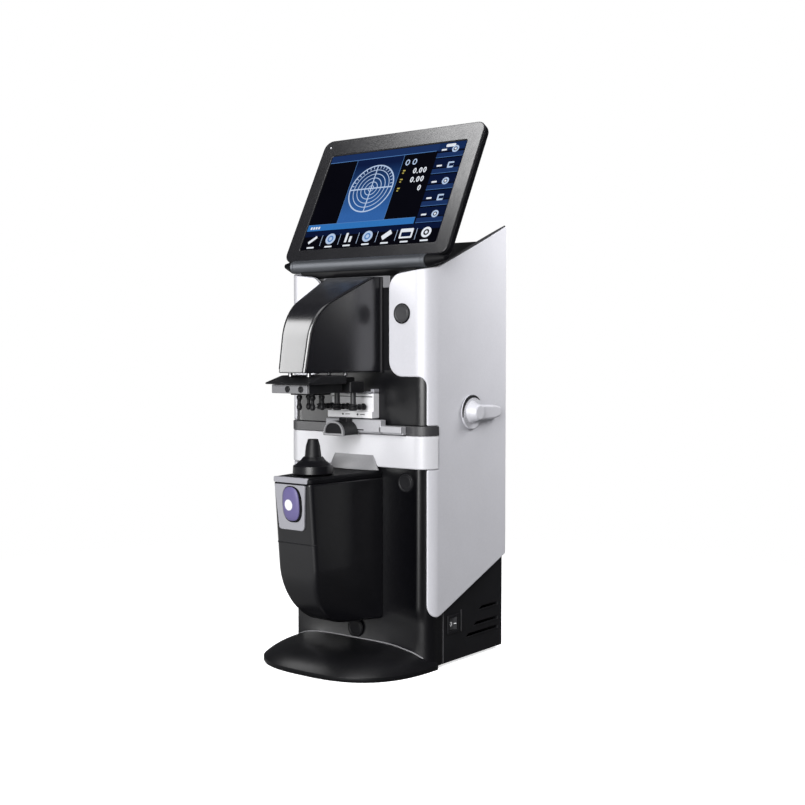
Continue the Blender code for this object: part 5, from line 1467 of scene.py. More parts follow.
@dataclass
class Pod:
    """The pod below the lens, with its cap, ramp, lens stop, button plate and memory button."""

    lean: float = tan(radians(4.73))
    keel: float = 0.055
    edge: float = 0.0045
    face_half: float = 0.0226
    keel_half: float = 0.0132
    pinch: float = 1.15
    seat: float = 0.0027
    belly: float = 0.0035
    seam: float = 0.1208
    lid_slope: float = 0.0015
    ramp_half: float = 0.0234
    bore: float = 0.0036
    button_power: float = 2.7
    shell: Box = field(default_factory=lambda: Box.of("pod_shell"))
    front: float = field(default_factory=lambda: Skin.of_tower().front)

    @property
    def hull(self) -> Hull:
        """Return the form that the pod's rings follow."""
        return Hull(self.edge, self.shell.size[0] / 2, self.front + self.seat)

    def build(self) -> None:
        """Build every piece of the pod."""
        self.body()
        self.cap()
        self.ramp()
        self.stop()
        self.button()

    def face(self, level: float) -> float:
        """Return how far forward the flat face is at a height."""
        return self.shell.low[1] + self.lean * (self.shell.high[2] - level)

    def half(self, level: Array) -> Array:
        """Return half the face's width: it pinches in from the keel's start down to the bottom."""
        drop = np.clip(1 - (level - self.shell.low[2]) / self.keel, 0, 1)
        return self.face_half + (self.keel_half - self.face_half) * drop ** self.pinch

    def body(self) -> None:
        """Build the shell from its keel upwards, with a soft belly edge, and the seam across its face."""
        bottom, top = self.shell.low[2], self.shell.high[2]
        corner = self.face(bottom)
        line = [(corner + self.keel, bottom), (corner, bottom), (self.shell.low[1], top)]
        line = evenly(rounded_line(line, [self.keel], 70)[1:], 110)
        rise = line[:, 1] - bottom
        inset = self.belly - np.sqrt(np.maximum(self.belly ** 2 - np.maximum(self.belly - rise, 0) ** 2, 0))
        ends = np.array([(line[-1, 0], top - 0.0006, 0.0), (line[-1, 0], top, 0.0006)])
        keep = line[:, 1] < top - 0.0012
        depth = np.concatenate([line[keep, 0] - 0.6 * inset[keep], ends[:, 0]])
        level = np.concatenate([line[keep, 1], ends[:, 1]])
        inset = np.concatenate([inset[keep], ends[:, 2]])
        rings = self.hull.rings(depth, self.half(level), level, inset)
        Surface().stack(rings).piece("pod_body", GLOSS, "pod_shell")
        row = rings[int(np.argmin(np.abs(level - self.seam)))]
        chosen = row[row[:, 1] < row[:, 1].min() + 0.0035]
        Surface().tube(chosen[np.argsort(chosen[:, 0])], 0.0005).piece("pod_face_seam", MATTE)

    def cap(self) -> None:
        """Build the cap, which slopes down to the front, with its light front strip."""
        box = Box.of("pod_cap")
        lift = MM * np.array([0.0, 0.6, 4.2, 5.2, 6.0, 6.5])
        inset = MM * np.array([0.6, 0.0, 0.0, 0.3, 1.0, 2.6])
        rings = self.hull.rings(box.low[1] + 0 * lift, self.face_half + 0 * lift, box.low[2] + lift, inset)
        rings[2:, :, 2] -= self.lid_slope * (box.high[1] - rings[2:, :, 1]) / box.size[1]
        Surface().stack(rings).piece("pod_lid", SHADE, "pod_cap")
        half = self.face_half / MM
        strip = box.near("0LL", (1.4 - half, -0.7, 0.2), "0LH", (half - 3.4, 1.6, -1.2))
        Surface().slab(strip, "-Y", 1.2, 0.5).piece("pod_lid_strip", LIGHT)

    def ramp(self) -> None:
        """Build the ramp up to the shelf: its front is a parabola in plan that narrows as it rises."""
        box = Box.of("pod_ramp")
        share = np.linspace(0, 1, 24)
        half = box.size[0] / 2 + (self.ramp_half - box.size[0] / 2) * share
        level = box.low[2] + box.size[2] * share
        depth = box.low[1] + (box.size[1] - 0.0015) * (1 - (1 - share ** 1.6) ** 1.3)
        spread = np.linspace(-1, 1, 40)
        curve = depth[:, None] + 0.86 * (box.high[1] - depth)[:, None] * spread ** 2
        ahead = np.stack(np.broadcast_arrays(half[:, None] * spread, curve, level[:, None]), -1)
        corner = np.stack(np.broadcast_arrays(half[:, None] * (1, -1), box.high[1], level[:, None]), -1)
        Surface().stack(np.concatenate([ahead, corner], 1)).piece("shelf_ramp", MID, "pod_ramp")

    def stop(self) -> None:
        """Turn the lens stop and the collar that it stands on."""
        collar, nose = Box.of("nosepiece_collar", "nosepiece")
        foot, top, tip, bore = collar.low[2], collar.high[2], nose.high[2], self.bore
        wide, stem = collar.size[0] / 2, nose.size[0] / 2
        neck = stem + 0.0003
        line = [(neck, foot), (wide, foot), (wide - 0.0004, foot + 0.0071), (wide - 0.0022, foot + 0.0078),
                (neck + 0.0034, top - 0.0032), (neck + 0.0009, top), (neck, top), (neck, foot)]
        centre = (collar.middle[0], collar.middle[1], 0.0)
        made = Surface().turned(line, (0.4, 0.9, 1.6, 5.0, 0.4, 0.1), centre, "Z", 64, 6)
        made.piece("stop_collar", GLOSS, "nosepiece_collar")
        line = [(bore, nose.low[2]), (stem, nose.low[2]), (stem, top), (0.0064, tip - 0.0058),
                (0.0051, tip - 0.0016), (0.0047, tip), (0.0041, tip), (bore, tip - 0.0010),
                (bore, nose.low[2])]
        made = Surface().turned(line, (0.2, 0.8, 3.0, 0.6, 0.4, 0.2, 0.2), centre, "Z", 56, 6)
        made.piece("lens_stop", MATTE, "nosepiece")

    def button(self) -> None:
        """Lay the light plate on the pod's face, and dome the oval button with its white dot; a dark ring set
        off to its right is painted shade beside it.
        """
        plate, button = Box.of("button_plate", "memory_button")
        middle, power = button.middle[2], self.button_power
        tilt = np.array([0.0, -self.lean, 1.0]) / np.hypot(1, self.lean)
        plane = Plane((0.0, self.face(middle), middle), up=tuple(tilt))
        low, high = (plate.low[2] - middle) / tilt[2], (plate.high[2] - middle) / tilt[2]
        top = plate.size[0] / 2
        corners = [(-0.0166, low), (0.0132, low), (top, high), (-top - 0.0022, high)]
        edge = outline(corners, [0.0030, 0.0040, 0.0016, 0.0012])
        wide, tall = button.size[0] / 2, button.size[2] / 2 / tilt[2]
        hole = oval((0.0005, 0), wide + 0.0011, tall + 0.0007, 56, True, power)
        made = Surface().plate([edge, hole], soft_rim(-0.0017, 0.0003, 0.0006), plane.place)
        made.piece("button_surround", LIGHT, "button_plate")
        share = np.concatenate([np.linspace(0.04, 1, 26), [1.0, 1.0]])
        sink = -0.0041 + 0.0017 * share ** 5
        sink[-2:] = (-0.0015, 0.004)
        flat = share[:, None, None] * oval((0, 0), wide, tall, 72, power=power)(0.0)
        deep = np.repeat(sink, flat.shape[1])
        spots = plane.place(flat[..., 0].ravel(), flat[..., 1].ravel(), deep).reshape(*flat.shape[:2], 3)
        Surface().stack(spots).piece("oval_button", PURPLE, "memory_button", body=Body.BUTTON)
        dot = oval((-0.0012, -0.0006), 0.0045, 0.0050, 40)
        made = Surface().plate([dot], soft_rim(-0.00425, -0.0036, 0.0002), plane.place)
        made.piece("button_dot", MARKING, body=Body.BUTTON)
        # A near-black ring, wider on the right, is painted shade: the dark crescent beside the button.
        shade_ring = [oval((0.0012, -0.0002), wide + 0.0019, tall + 0.0010, 72, power=power),
                oval((0, 0), wide + 0.0002, tall + 0.0002, 72, True, power)]
        Surface().plate(shade_ring, soft_rim(-0.0020, 0.0002, 0.0001), plane.place).piece("button_seal", SHADE)


@dataclass
class Base:
    """The black base: its housing with vents, the rocker switch, the mains inlet and the feet."""

    vents: tuple[tuple[float, float], ...] = ((0.022, 0.0555), (0.031, 0.0425), (0.045, 0.0335))
    vent_back: float = 0.1185
    vent_half: float = 0.0015
    vent_taper: float = 0.006
    wall: float = 2.5
    pivot: tuple[float, float] = (0.0802, 0.04305)
    rocker_turn: float = radians(-10)
    rocker_half: float = 0.0053
    pin_apart: float = 7.0
    front: float = field(default_factory=lambda: Skin.of_tower().front)

    def build(self) -> None:
        """Build every piece of the base."""
        self.housing()
        self.ribs()
        self.switch()
        self.inlet()
        self.feet()

    def slots(self, mirrored: bool) -> list[Ring]:
        """Draw the vents: slots whose front ends taper.

        Args:
            mirrored: whether they are on the left wall.

        Returns:
            Their outlines.
        """
        back, half = self.front + self.vent_back, self.vent_half
        holes = []
        for level, length in self.vents:
            start = back - length
            corners = np.array([(start, level - half), (back, level - half), (back, level + half),
                                (start + self.vent_taper, level + half)])
            holes.append(outline(corners * (-1, 1) if mirrored else corners[::-1], 0.0007, 4))
        return holes

    def housing(self) -> None:
        """Lay the two side walls and the rear wall, and a lip under each vent."""
        box, switch, inlet = Box.of("base_housing", "switch_frame", "power_inlet")
        made, lips = Surface(), Surface()
        back = self.front + self.vent_back
        opening = tablet(switch.low[1:] + 0.0013, switch.high[1:] - 0.0013, 0.0006, 3, True)
        right = box.near("HLL", (-self.wall, 0, 0), "HHH", (0, 0, 0))
        left = box.near("LLL", (0, 0, 0), "LHH", (self.wall, 0, 0))
        for facing, wall, holes in (("+X", right, [*self.slots(False), opening]),
                                    ("-X", left, self.slots(True))):
            made.slab(wall, facing, 1.2, 0.8, holes=holes)
            outside = wall.high[0] if wall is right else wall.low[0]
            for level, length in self.vents:
                edge = level - self.vent_half
                path = np.linspace((outside, back - length, edge), (outside, back, edge), 24)
                lips.tube(path, 0.0007 * np.sin(np.linspace(0.12, pi - 0.12, 24)) ** 0.35)
        rear = box.near("LHL", (0.3, -self.wall, 0.3), "HHH", (-0.3, 0, -0.3))
        opening = tablet((-inlet.high[0], inlet.low[2]), (-inlet.low[0], inlet.high[2]), 0.001, 3, True)
        made.slab(rear, "+Y", 1.2, 0.8, holes=[opening]).piece("base_walls", MATTE, "base_housing")
        lips.piece("vent_lips", MATTE)

    def ribs(self) -> None:
        """Lay the seam and the rib on the right wall."""
        box, front = Box.of("base_housing"), self.front / MM
        seam = box.near("HLL", (-0.4, 0.8, 0.5), "HL0", (0.6, 2.0, 58))
        rib = box.near("H00", (-0.4, front + 55.6, 28), "H00", (0.7, front + 57.0, 49))
        Surface().slab(seam, "+X", 0.5, 0.5).slab(rib, "+X", 0.6, 0.5).piece("base_side_ribs", DARK)

    def switch(self) -> None:
        """Build the switch's flanged frame, the rocker in it and the rocker's marks."""
        box, rocker = Box.of("switch_frame", "switch_rocker")
        hole = tablet(box.low[1:] + 0.0027, box.high[1:] - 0.0027, 0.0008, 4, True)
        flange = box.near("HLL", (-1.1, 0, 0), "HHH", (0, 0, 0))
        body = box.near("LLL", (1.4, 1.3, 1.3), "HHH", (-1.0, -1.3, -1.3))
        floor = box.near("LLL", (0, 1.3, 1.3), "LHH", (1.5, -1.3, -1.3))
        made = Surface().slab(flange, "+X", 1.4, 0.6, holes=[hole]).slab(body, "+X", 0.6, 0.0, holes=[hole])
        made.slab(floor, "+X", 0.6, 0.0).piece("switch_bezel", MATTE, "switch_frame")
        pivot = np.array(self.pivot) + (0, self.front)
        turn, half = self.rocker_turn, self.rocker_half
        swing = np.array([(cos(turn), sin(turn)), (-sin(turn), cos(turn))])
        section = np.array([(-0.003, -half), (0.004, -half), (0.0027, 0), (0.004, half), (-0.003, half)])
        plane = Plane((0, 0, rocker.high[2]), up=(0, 1, 0))
        edge = outline(section @ swing + pivot, [0.0004, 0.0007, 0.004, 0.0007, 0.0004], 5)
        made = Surface().plate([edge], soft_rim(0, rocker.size[2], 0.0006, 0.0006), plane.place)
        made.piece("rocker", DARK, "switch_rocker", body=Body.ROCKER)
        ring = [oval((0, 0), 0.0015, 0.0021, 32), oval((0, 0), 0.0009, 0.0015, 32, True)]
        stroke = [tablet((-0.0014, -0.0004), (0.0014, 0.0004), 0.0002)]
        marks = Surface()
        for sign, rings in ((-1, ring), (1, stroke)):
            run = unit(np.array([0.0013, sign * half])) * sign
            centre = np.array([0.00335, sign * 0.0027]) @ swing + pivot
            face = Plane((*centre, rocker.middle[2]), (*(run @ swing), 0.0))
            marks.plate(rings, soft_rim(-0.00012, 0.0002, 0.00005), face.place)
        marks.piece("rocker_marks", MARKING, body=Body.ROCKER)

    def inlet(self) -> None:
        """Build the mains inlet: a rim, a deep socket and three pins."""
        box, rim = Box.of("power_inlet"), 0.0018
        low, high = (rim - box.high[0], box.low[2] + rim), (-box.low[0] - rim, box.high[2] - rim)
        hole = tablet(low, high, 0.002, 5, True)
        floor = box.near("LLL", (0.4, 0.4, 0.4), "HLH", (-0.4, 1.8, -0.4))
        made = Surface().slab(box, "+Y", 1.6, 0.6, holes=[hole]).slab(floor, "+Y", 1, 0.3)
        made.piece("inlet_socket", MATTE, "power_inlet")
        pins = Surface()
        for number, lift in ((-1, -2), (0, 2), (1, -2)):
            across = self.pin_apart * number
            pin = box.near("MLM", (across - 1, 1, lift - 2), "MLM", (across + 1, 9.8, lift + 2))
            pins.slab(pin, "+Y", 0.6, 0.5)
        pins.piece("inlet_pins", STEEL)

    def feet(self) -> None:
        """Turn the rubber feet."""
        for name in ("rubber_foot_left", "rubber_foot_right"):
            box = Box.of(name)
            radius, high = box.size[0] / 2, box.size[2]
            line = [(0, 0), (radius * 0.9, 0), (radius, high), (0, high)]
            foot = Surface().turned(line, (0.8, 0.3), (*box.middle[:2], box.low[2]), "Z", 40)
            foot.piece(name + "_puck", RUBBER, name)


@dataclass
class Display:
    """The tilting display: bezel, screen glass, back tray and two ears on the hinge."""

    tilt: float = radians(27.15)
    half: float = 0.099
    bottom: float = 0.00694
    height: float = 0.1425
    corner: float = 0.010
    face: float = 0.0004
    glass: float = 0.0012
    bezel_wall: float = 0.0028
    joint: float = 0.0003
    tray_depth: float = 0.0082
    screen_half: float = 0.083
    screen_bottom: float = 0.01994
    screen_height: float = 0.110
    screen_round: float = 0.002
    lamp: tuple[float, float] = (-0.0895, 0.1208)
    lamp_radius: float = 0.0010
    ear_length: float = 0.0162
    ear_taper: float = 0.35
    cover: tuple[tuple[float, float], ...] = ((-0.066, 0.034), (0.066, 0.122))
    slot_half: float = 0.034
    barrel: Box = field(default_factory=lambda: Box.of("hinge_barrel"))

    @property
    def plane(self) -> Plane:
        """Return the display's plane through the hinge, leaning back by the tilt."""
        return Plane((0.0, *self.barrel.middle[1:]), up=(0, sin(self.tilt), cos(self.tilt)))

    @property
    def tray_front(self) -> float:
        """Return the depth at which the tray starts, a joint behind the bezel."""
        return self.face + self.bezel_wall + self.joint

    def build(self) -> None:
        """Build the display's casing and the picture on its screen."""
        self.casing()
        self.ears()
        self.back()
        origin = self.plane.place(np.zeros(1), np.array([self.screen_bottom]), np.zeros(1))[0]
        ScreenPicture(Plane(tuple(origin), up=self.plane.up), self.glass).build()

    def casing(self) -> None:
        """Lay the bezel, the glass in its window, the tray behind them and the small lamp."""
        place, back = self.plane.place, self.face + self.bezel_wall
        edge = tablet((-self.half, self.bottom), (self.half, self.bottom + self.height), self.corner, 12)
        low = np.array([-self.screen_half, self.screen_bottom])
        high = low + (2 * self.screen_half, self.screen_height)
        window = tablet(low, high, self.screen_round, 5, True)
        made = Surface().plate([edge, window], soft_rim(self.face, back, 0.0011), place)
        made.piece("display_frame", BEZEL, "display_bezel", body=Body.DISPLAY)
        rim = soft_rim(self.glass, self.glass + 0.0035, 0.0002) + (self.joint, 0, 0)
        made = Surface().plate([tablet(low, high, self.screen_round, 5)], rim, place)
        made.piece("screen_glass", SCREEN, "display_screen", body=Body.DISPLAY)
        rim = soft_rim(self.tray_front, self.tray_front + self.tray_depth, 0.0004, 0.005, 6)
        Surface().plate([edge], rim, place).piece("display_tray", SHADE, "display_back", body=Body.DISPLAY)
        lamp = oval(np.array(self.lamp) + (0, self.screen_bottom), self.lamp_radius, self.lamp_radius, 20)
        made = Surface().plate([lamp], soft_rim(self.face - 0.0002, back, 0.0002), place)
        made.piece("display_lamp", MARKING, body=Body.DISPLAY)

    def ears(self) -> None:
        """Draw each ear from a round boss beside the barrel in towards the display's edge."""
        radius, start = self.barrel.size[2] / 2, self.barrel.high[0] + 0.0004
        front = self.face + self.bezel_wall + 0.0006
        back = front + self.tray_depth - 0.0025
        angle = -1.5 * pi * np.linspace(0, 1, 28)
        boss = radius * np.stack([np.cos(angle), np.sin(angle)], 1)
        rise = self.bottom + 0.002
        section = np.vstack([[(front, rise), (back, rise), (back, self.bottom)], boss, [(front, radius)]])
        middle = np.array([(front + back) / 2, self.bottom])
        share = np.concatenate([[0.0], np.linspace(0.03, 0.97, 16), [1.0]])
        scale = 1 - (1 - self.ear_taper) * share
        scale[[0, -1]] -= 0.06
        rings = middle + (section - middle) * scale[:, None, None]
        rings[:, :2, 1] = rise
        across = np.broadcast_to((start + self.ear_length * share)[:, None], rings.shape[:2]).ravel()
        made = Surface()
        for side in (-1, 1):
            spots = self.plane.place(side * across, rings[..., 1].ravel(), rings[..., 0].ravel())
            made.stack(spots.reshape(*rings.shape[:2], 3))
        # The ears' black is real, and the near-black soft finish makes them darker and duller than that
        # plastic, which is painted shade.
        made.piece("hinge_ears", SHADE, body=Body.DISPLAY)

    def back(self) -> None:
        """Raise a service cover on the tray's back, with slots in it and four screws."""
        origin = np.array(self.plane.origin) + (self.tray_front + self.tray_depth) * self.plane.inward
        plane = Plane(tuple(origin), (-1, 0, 0), self.plane.up)
        slots = [tablet((-self.slot_half, level), (self.slot_half, level + 0.0022), 0.001, 4, True)
                 for level in np.arange(0.092, 0.114, 0.0052)]
        edge = tablet(*self.cover, 0.006, 8)
        made = Surface().plate([edge, *slots], soft_rim(-0.0008, 0.0002, 0.0005), plane.place)
        made.piece("display_back_cover", MATTE, body=Body.DISPLAY)
        screws = Surface()
        for across in (-0.058, 0.058):
            for level in (0.042, 0.114):
                screws.screw(plane, (across, level), -0.0016)
        screws.piece("display_back_screws", STEEL, body=Body.DISPLAY)


@dataclass
class ScreenPicture:
    """A generic measuring picture on the screen: bars, a target, plain numbers and rows of plain signs.

    Places and widths are in millimetres from the middle of the screen's bottom edge.
    """

    plane: Plane
    glass: float
    layer: float = 0.00005
    edge: float = 82.6
    column: float = 50.0
    cell: float = 17.8
    sheets: dict[Finish, Surface] = field(default_factory=dict)

    def build(self) -> None:
        """Lay every field and sign, then make one piece of each colour."""
        self.fields()
        self.target((-17.0, 66.0), 27.0)
        self.numbers()
        self.signs()
        for finish, surface in self.sheets.items():
            surface.piece("picture_" + finish.name, finish, body=Body.DISPLAY)

    def lay(self, finish: Finish, rings: list[Ring], level: int) -> None:
        """Lay one flat shape.

        Args:
            finish: its colour.
            rings: its outlines, in metres.
            level: its layer above the glass.
        """
        front = self.glass - level * self.layer
        rim = np.array([(0.0, front, 0.0), (0.0, front + 0.8 * self.layer, pi / 2)])
        self.sheets.setdefault(finish, Surface()).plate(rings, rim, self.plane.place)

    def tile(self, finish: Finish, box: tuple[float, float, float, float], level: int,
             corner: float = 0.1) -> None:
        """Lay a rectangle, given by its left, bottom, right and top."""
        left, bottom, right, top = np.array(box) / 1000
        self.lay(finish, [tablet((left, bottom), (right, top), corner / 1000)], level)

    def hoop(self, finish: Finish, centre: Array, size: Array, wide: float, level: int) -> None:
        """Lay an oval ring, or a full oval if its line is as wide as it is.

        Args:
            finish: its colour.
            centre: its middle.
            size: half its width and height.
            wide: how wide its line is.
            level: its layer above the glass.
        """
        middle, half = np.array(centre) / 1000, np.array(size) / 1000
        rings = [oval(middle, *half, 56)]
        if wide < min(size):
            rings.append(oval(middle, *(half - wide / 1000), 56, True))
        self.lay(finish, rings, level)

    def stroke(self, finish: Finish, start: Array, end: Array, wide: float, level: int) -> None:
        """Lay a straight stroke.

        Args:
            finish: its colour.
            start: where it starts.
            end: where it ends.
            wide: how wide it is.
            level: its layer above the glass.
        """
        first, last = np.array(start) / 1000, np.array(end) / 1000
        run = unit(last - first)
        side = np.array([run[1], -run[0]]) * wide / 2000
        corners = np.array([first + side, last + side, last - side, first - side])
        self.lay(finish, [outline(corners, wide / 8000, 2)], level)

    def fields(self) -> None:
        """Lay the title bar, the centre panel, the status strip and the two rows of cells."""
        edge, column = self.edge, self.column
        self.tile(GLOW_DEEP, (-edge, 101.4, edge, 109.6), 1)
        self.tile(GLOW_SKY, (-edge, 101.2, column, 101.8), 2)
        heights = self.plane.place(np.zeros(2), np.array([0.036, 0.094]), np.zeros(2))[:, 2]
        centre = glow("centre", (0.030, 0.120, 0.370), upper=(0.003, 0.010, 0.048), levels=tuple(heights))
        self.tile(centre, (-46.0, 28.6, 12.0, 101.0), 1)
        for across in (-46.3, 12.3):
            self.stroke(GLOW_SKY, (across, 28.6), (across, 101.0), 0.4, 2)
        self.tile(GLOW_BLUE, (-edge, 21.6, column, 28.3), 1)
        self.stroke(GLOW_SKY, (-edge, 28.5), (column, 28.5), 0.5, 2)
        self.tile(GLOW_NAVY, (-edge, 15.0, edge, 21.2), 1)
        left = column + 2
        for number in range(5):
            bottom = 21.8 + self.cell * number
            self.tile(GLOW_NAVY, (left, bottom + 7.0, edge, bottom + 16.6), 1)
            self.tile(GLOW_DEEP, (left, bottom + 0.6, edge, bottom + 5.6), 2)
            self.stroke(GLOW_SKY, (left, bottom + 0.4), (edge, bottom + 0.4), 0.35, 2)

    def target(self, centre: Array, radius: float) -> None:
        """Lay the target: rings, a cross and a band of ticks over its upper half.

        Args:
            centre: its middle.
            radius: its radius.
        """
        middle = np.array(centre)
        for share, wide in ((1.0, 1.4), (0.8, 0.8), (0.63, 0.8), (0.46, 0.8), (0.29, 0.8), (0.13, 0.7)):
            self.hoop(GLOW_PALE, centre, (share * radius, share * radius), wide, 3)
        self.stroke(GLOW_PALE, middle - (radius, 0), middle + (radius, 0), 1.4, 4)
        self.stroke(GLOW_PALE, middle - (0, radius), middle + (0, radius), 1.2, 4)
        for angle in np.linspace(0, pi, 19)[1:-1]:
            turn = radius * np.array([cos(angle), sin(angle)])
            self.stroke(GLOW_PALE, middle + 0.84 * turn, middle + 0.97 * turn, 0.8, 4)

    def numbers(self) -> None:
        """Lay three plain readings of zeros, two small discs over them and a faint mark beside each."""
        right, mark = 43.0, 16.4
        for across in (19.0, 27.5):
            self.hoop(GLOW_PALE, (across, 92.0), (2.6, 3.4), 1.2, 2)
        for level, decimals in ((81.5, 2), (71.5, 2), (61.5, 0)):
            for place in range(decimals + 1):
                across = right - 4.9 * place - (2.2 if place == 2 else 0.0)
                self.hoop(GLOW_WHITE, (across, level), (1.9, 3.1), 1.25, 2)
            if decimals:
                self.hoop(GLOW_WHITE, (right - 8.4, level - 2.6), (0.65, 0.65), 0.65, 2)
            self.tile(GLOW_AMBER, (mark, level + 0.6, mark + 3.0, level + 2.0), 2)
            self.tile(GLOW_AMBER, (mark, level - 2.0, mark + 2.0, level - 0.8), 2)

    def signs(self) -> None:
        """Lay the plain signs in the right column, the status strip and the bottom row."""
        for number in range(5):
            level = 30.6 + self.cell * number
            self.tile(GLOW_WHITE, (56.0, level - 0.9, 62.0, level + 0.9), 3, 0.5)
            if number % 2:
                self.tile(GLOW_PALE, (68.5, level - 3.4, 75.5, level + 3.4), 3, 1.0)
                self.tile(GLOW_NAVY, (70.3, level - 1.6, 75.5, level + 1.6), 4, 0.4)
            else:
                self.hoop(GLOW_PALE, (72.0, level), (3.9, 3.9), 1.7, 3)
                self.hoop(GLOW_WHITE, (72.0, level), (1.2, 1.2), 1.2, 3)
        self.tile(GLOW_WHITE, (60.0, 104.6, 71.0, 108.0), 2, 1.2)
        for number in range(4):
            self.tile(GLOW_WHITE, (-78.5 + 3.3 * number, 23.4, -76.3 + 3.3 * number, 26.2), 3, 0.3)
        for number in range(7):
            middle = -70.5 + 23.2 * number
            self.tile(GLOW_WHITE, (middle - 4.6, 1.7, middle + 4.6, 3.4), 2, 0.5)
            if number:
                self.stroke(GLOW_PALE, (middle - 11.6, 4.0), (middle - 11.6, 16.0), 0.45, 2)
            self.sign(number, np.array([middle, 11.2]))

    def sign(self, number: int, middle: Array) -> None:
        """Lay one of the bottom row's plain signs.

        Args:
            number: its place in the row.
            middle: where it goes.
        """
        x, y = middle
        if number in (1, 3):
            self.hoop(GLOW_PALE, middle, (6.0, 6.0), 6.0, 3)
            self.hoop(GLOW_SKY, middle, (3.6, 3.6), 1.5, 4)
        elif number == 5:
            self.tile(GLOW_WHITE, (x - 7.6, y - 5.0, x + 7.6, y + 5.4), 3, 1.0)
            self.tile(GLOW_NAVY, (x - 5.6, y - 3.2, x + 5.6, y + 1.6), 4, 0.6)
        elif number == 6:
            self.hoop(GLOW_WHITE, middle, (5.6, 5.6), 2.4, 3)
            self.hoop(GLOW_WHITE, middle, (1.6, 1.6), 1.6, 3)
        elif number == 2:
            self.tile(GLOW_WHITE, (x - 4.4, y - 5.0, x - 1.6, y + 5.4), 3, 0.4)
            self.tile(GLOW_WHITE, (x + 1.0, y - 5.0, x + 3.8, y + 1.4), 3, 0.4)
        else:
            wide = 3.0 if number == 0 else 5.4
            self.stroke(GLOW_WHITE, middle - (4.6, 3.4), middle + (4.6, 3.4), wide, 3)


@dataclass
class Holder:
    """The lens holder: a carriage with its hand lever and guide rods, a face bar and four sprung pins."""

    lever_lip: float = 0.007
    lever_tip: float = 0.0015
    lever_ramp: float = 0.021
    rod_across: float = 0.011
    rod_radius: float = 0.002
    rod_inset: float = 0.010
    pin_across: float = 0.008
    pin_back: float = 0.0062
    pin_ahead: float = 0.003
    beam: float = 0.005

    def build(self) -> None:
        """Build every piece of the holder."""
        whole, bar, pins = Box.of("holder_carriage", "holder_bar", "holder_pins")
        top, half = bar.high[2] + 0.0003, bar.high[0] - 0.0002
        block = Box((-half, whole.low[1] + self.lever_lip, bar.low[2]), (half, whole.high[1], top))
        made = Surface().slab(block, "+Z", 1.2, 0.4, 0.6, (self.opening(pins),))
        made.piece("holder_slide", MATTE, "holder_carriage", body=Body.HOLDER)
        self.lever(whole, top)
        self.face_bar(bar)
        self.pins(pins)

    def opening(self, pins: Box) -> Ring:
        """Return the round hole that lets the measuring beam through between the pins."""
        return oval((0, pins.middle[1] + self.pin_ahead), self.beam, self.beam, 36, True)

    def lever(self, whole: Box, top: float) -> None:
        """Carry the hand lever's wedge across, and stand the guide rods in it.

        Args:
            whole: the carriage's block.
            top: the height of its slide.
        """
        front, back = whole.low[1], whole.high[1]
        crest = Box.of("head_cover").low[2] - 0.0024
        section = [(front, top), (back, top), (back, crest), (front + self.lever_ramp, crest),
                   (front, top + self.lever_tip)]
        made = Surface().bar(section, (0.6, 0.4, 1.2, 12, 0.7), whole.low[0], whole.high[0], 0.0007)
        made.piece("hand_lever", MATTE, body=Body.HOLDER)
        foot, tip, radius = crest - 0.001, whole.high[2], self.rod_radius
        line = [(0, foot), (radius, foot), (radius, tip), (0, tip)]
        rods = Surface()
        for across in (-self.rod_across, self.rod_across):
            centre = (across, front + self.lever_lip + self.rod_inset, 0)
            rods.turned(line, (0.1, 0.5), centre, "Z", 24, 3)
        rods.piece("holder_rods", STEEL, body=Body.HOLDER)

    def face_bar(self, box: Box) -> None:
        """Lay the light bar and the two ringed screws on it.

        Args:
            box: the bar's block.
        """
        made = Surface().slab(box, "-Y", 0.8, 0.6, 0.3)
        made.piece("face_bar", GREY, "holder_bar", body=Body.HOLDER)
        line = MM * np.array([(0, -0.4), (0.6, -0.9), (1.3, -0.9), (1.8, -0.3), (2.3, -1.0), (2.8, -0.8),
                              (2.8, 0.6), (0, 0.6)])
        for name, across in (("bar_screw_middle", -0.0016), ("bar_screw_right", 0.0143)):
            centre = (across, box.low[1], box.middle[2])
            made = Surface().turned(line, (0.2, 0.2, 0.2, 0.2, 0.3, 0.1), centre, "Y", 36, 3)
            made.piece(name, MATTE, body=Body.HOLDER)

    def pins(self, box: Box) -> None:
        """Turn the four pins: a round foot, a waist and a body, under a thin plate.

        Args:
            box: the pins' block.
        """
        plate = box.near("LLH", (0, 0, -1.6), "HHH", (0, 0, 0))
        made = Surface().slab(plate, "+Z", 2, 0.4, 0.4, (self.opening(box),))
        line = MM * np.array([(0, 0), (1.5, 0), (2.5, 1.8), (2.4, 3.8), (1.4, 6.4), (1.5, 8.4), (2.7, 10.8),
                              (2.6, 12.4), (2.0, 13.0), (2.0, 15.0), (0, 15.0)])
        for across in (-self.pin_across, self.pin_across):
            for back in (-self.pin_back, self.pin_back):
                centre = (across, box.middle[1] + back, box.low[2])
                made.turned(line, (0.6, 0.8, 1.2, 1.2, 1.4, 0.9, 0.3, 0.2, 0.2), centre, "Z", 28, 5)
        made.piece("sprung_pins", MATTE, "holder_pins", body=Body.HOLDER)


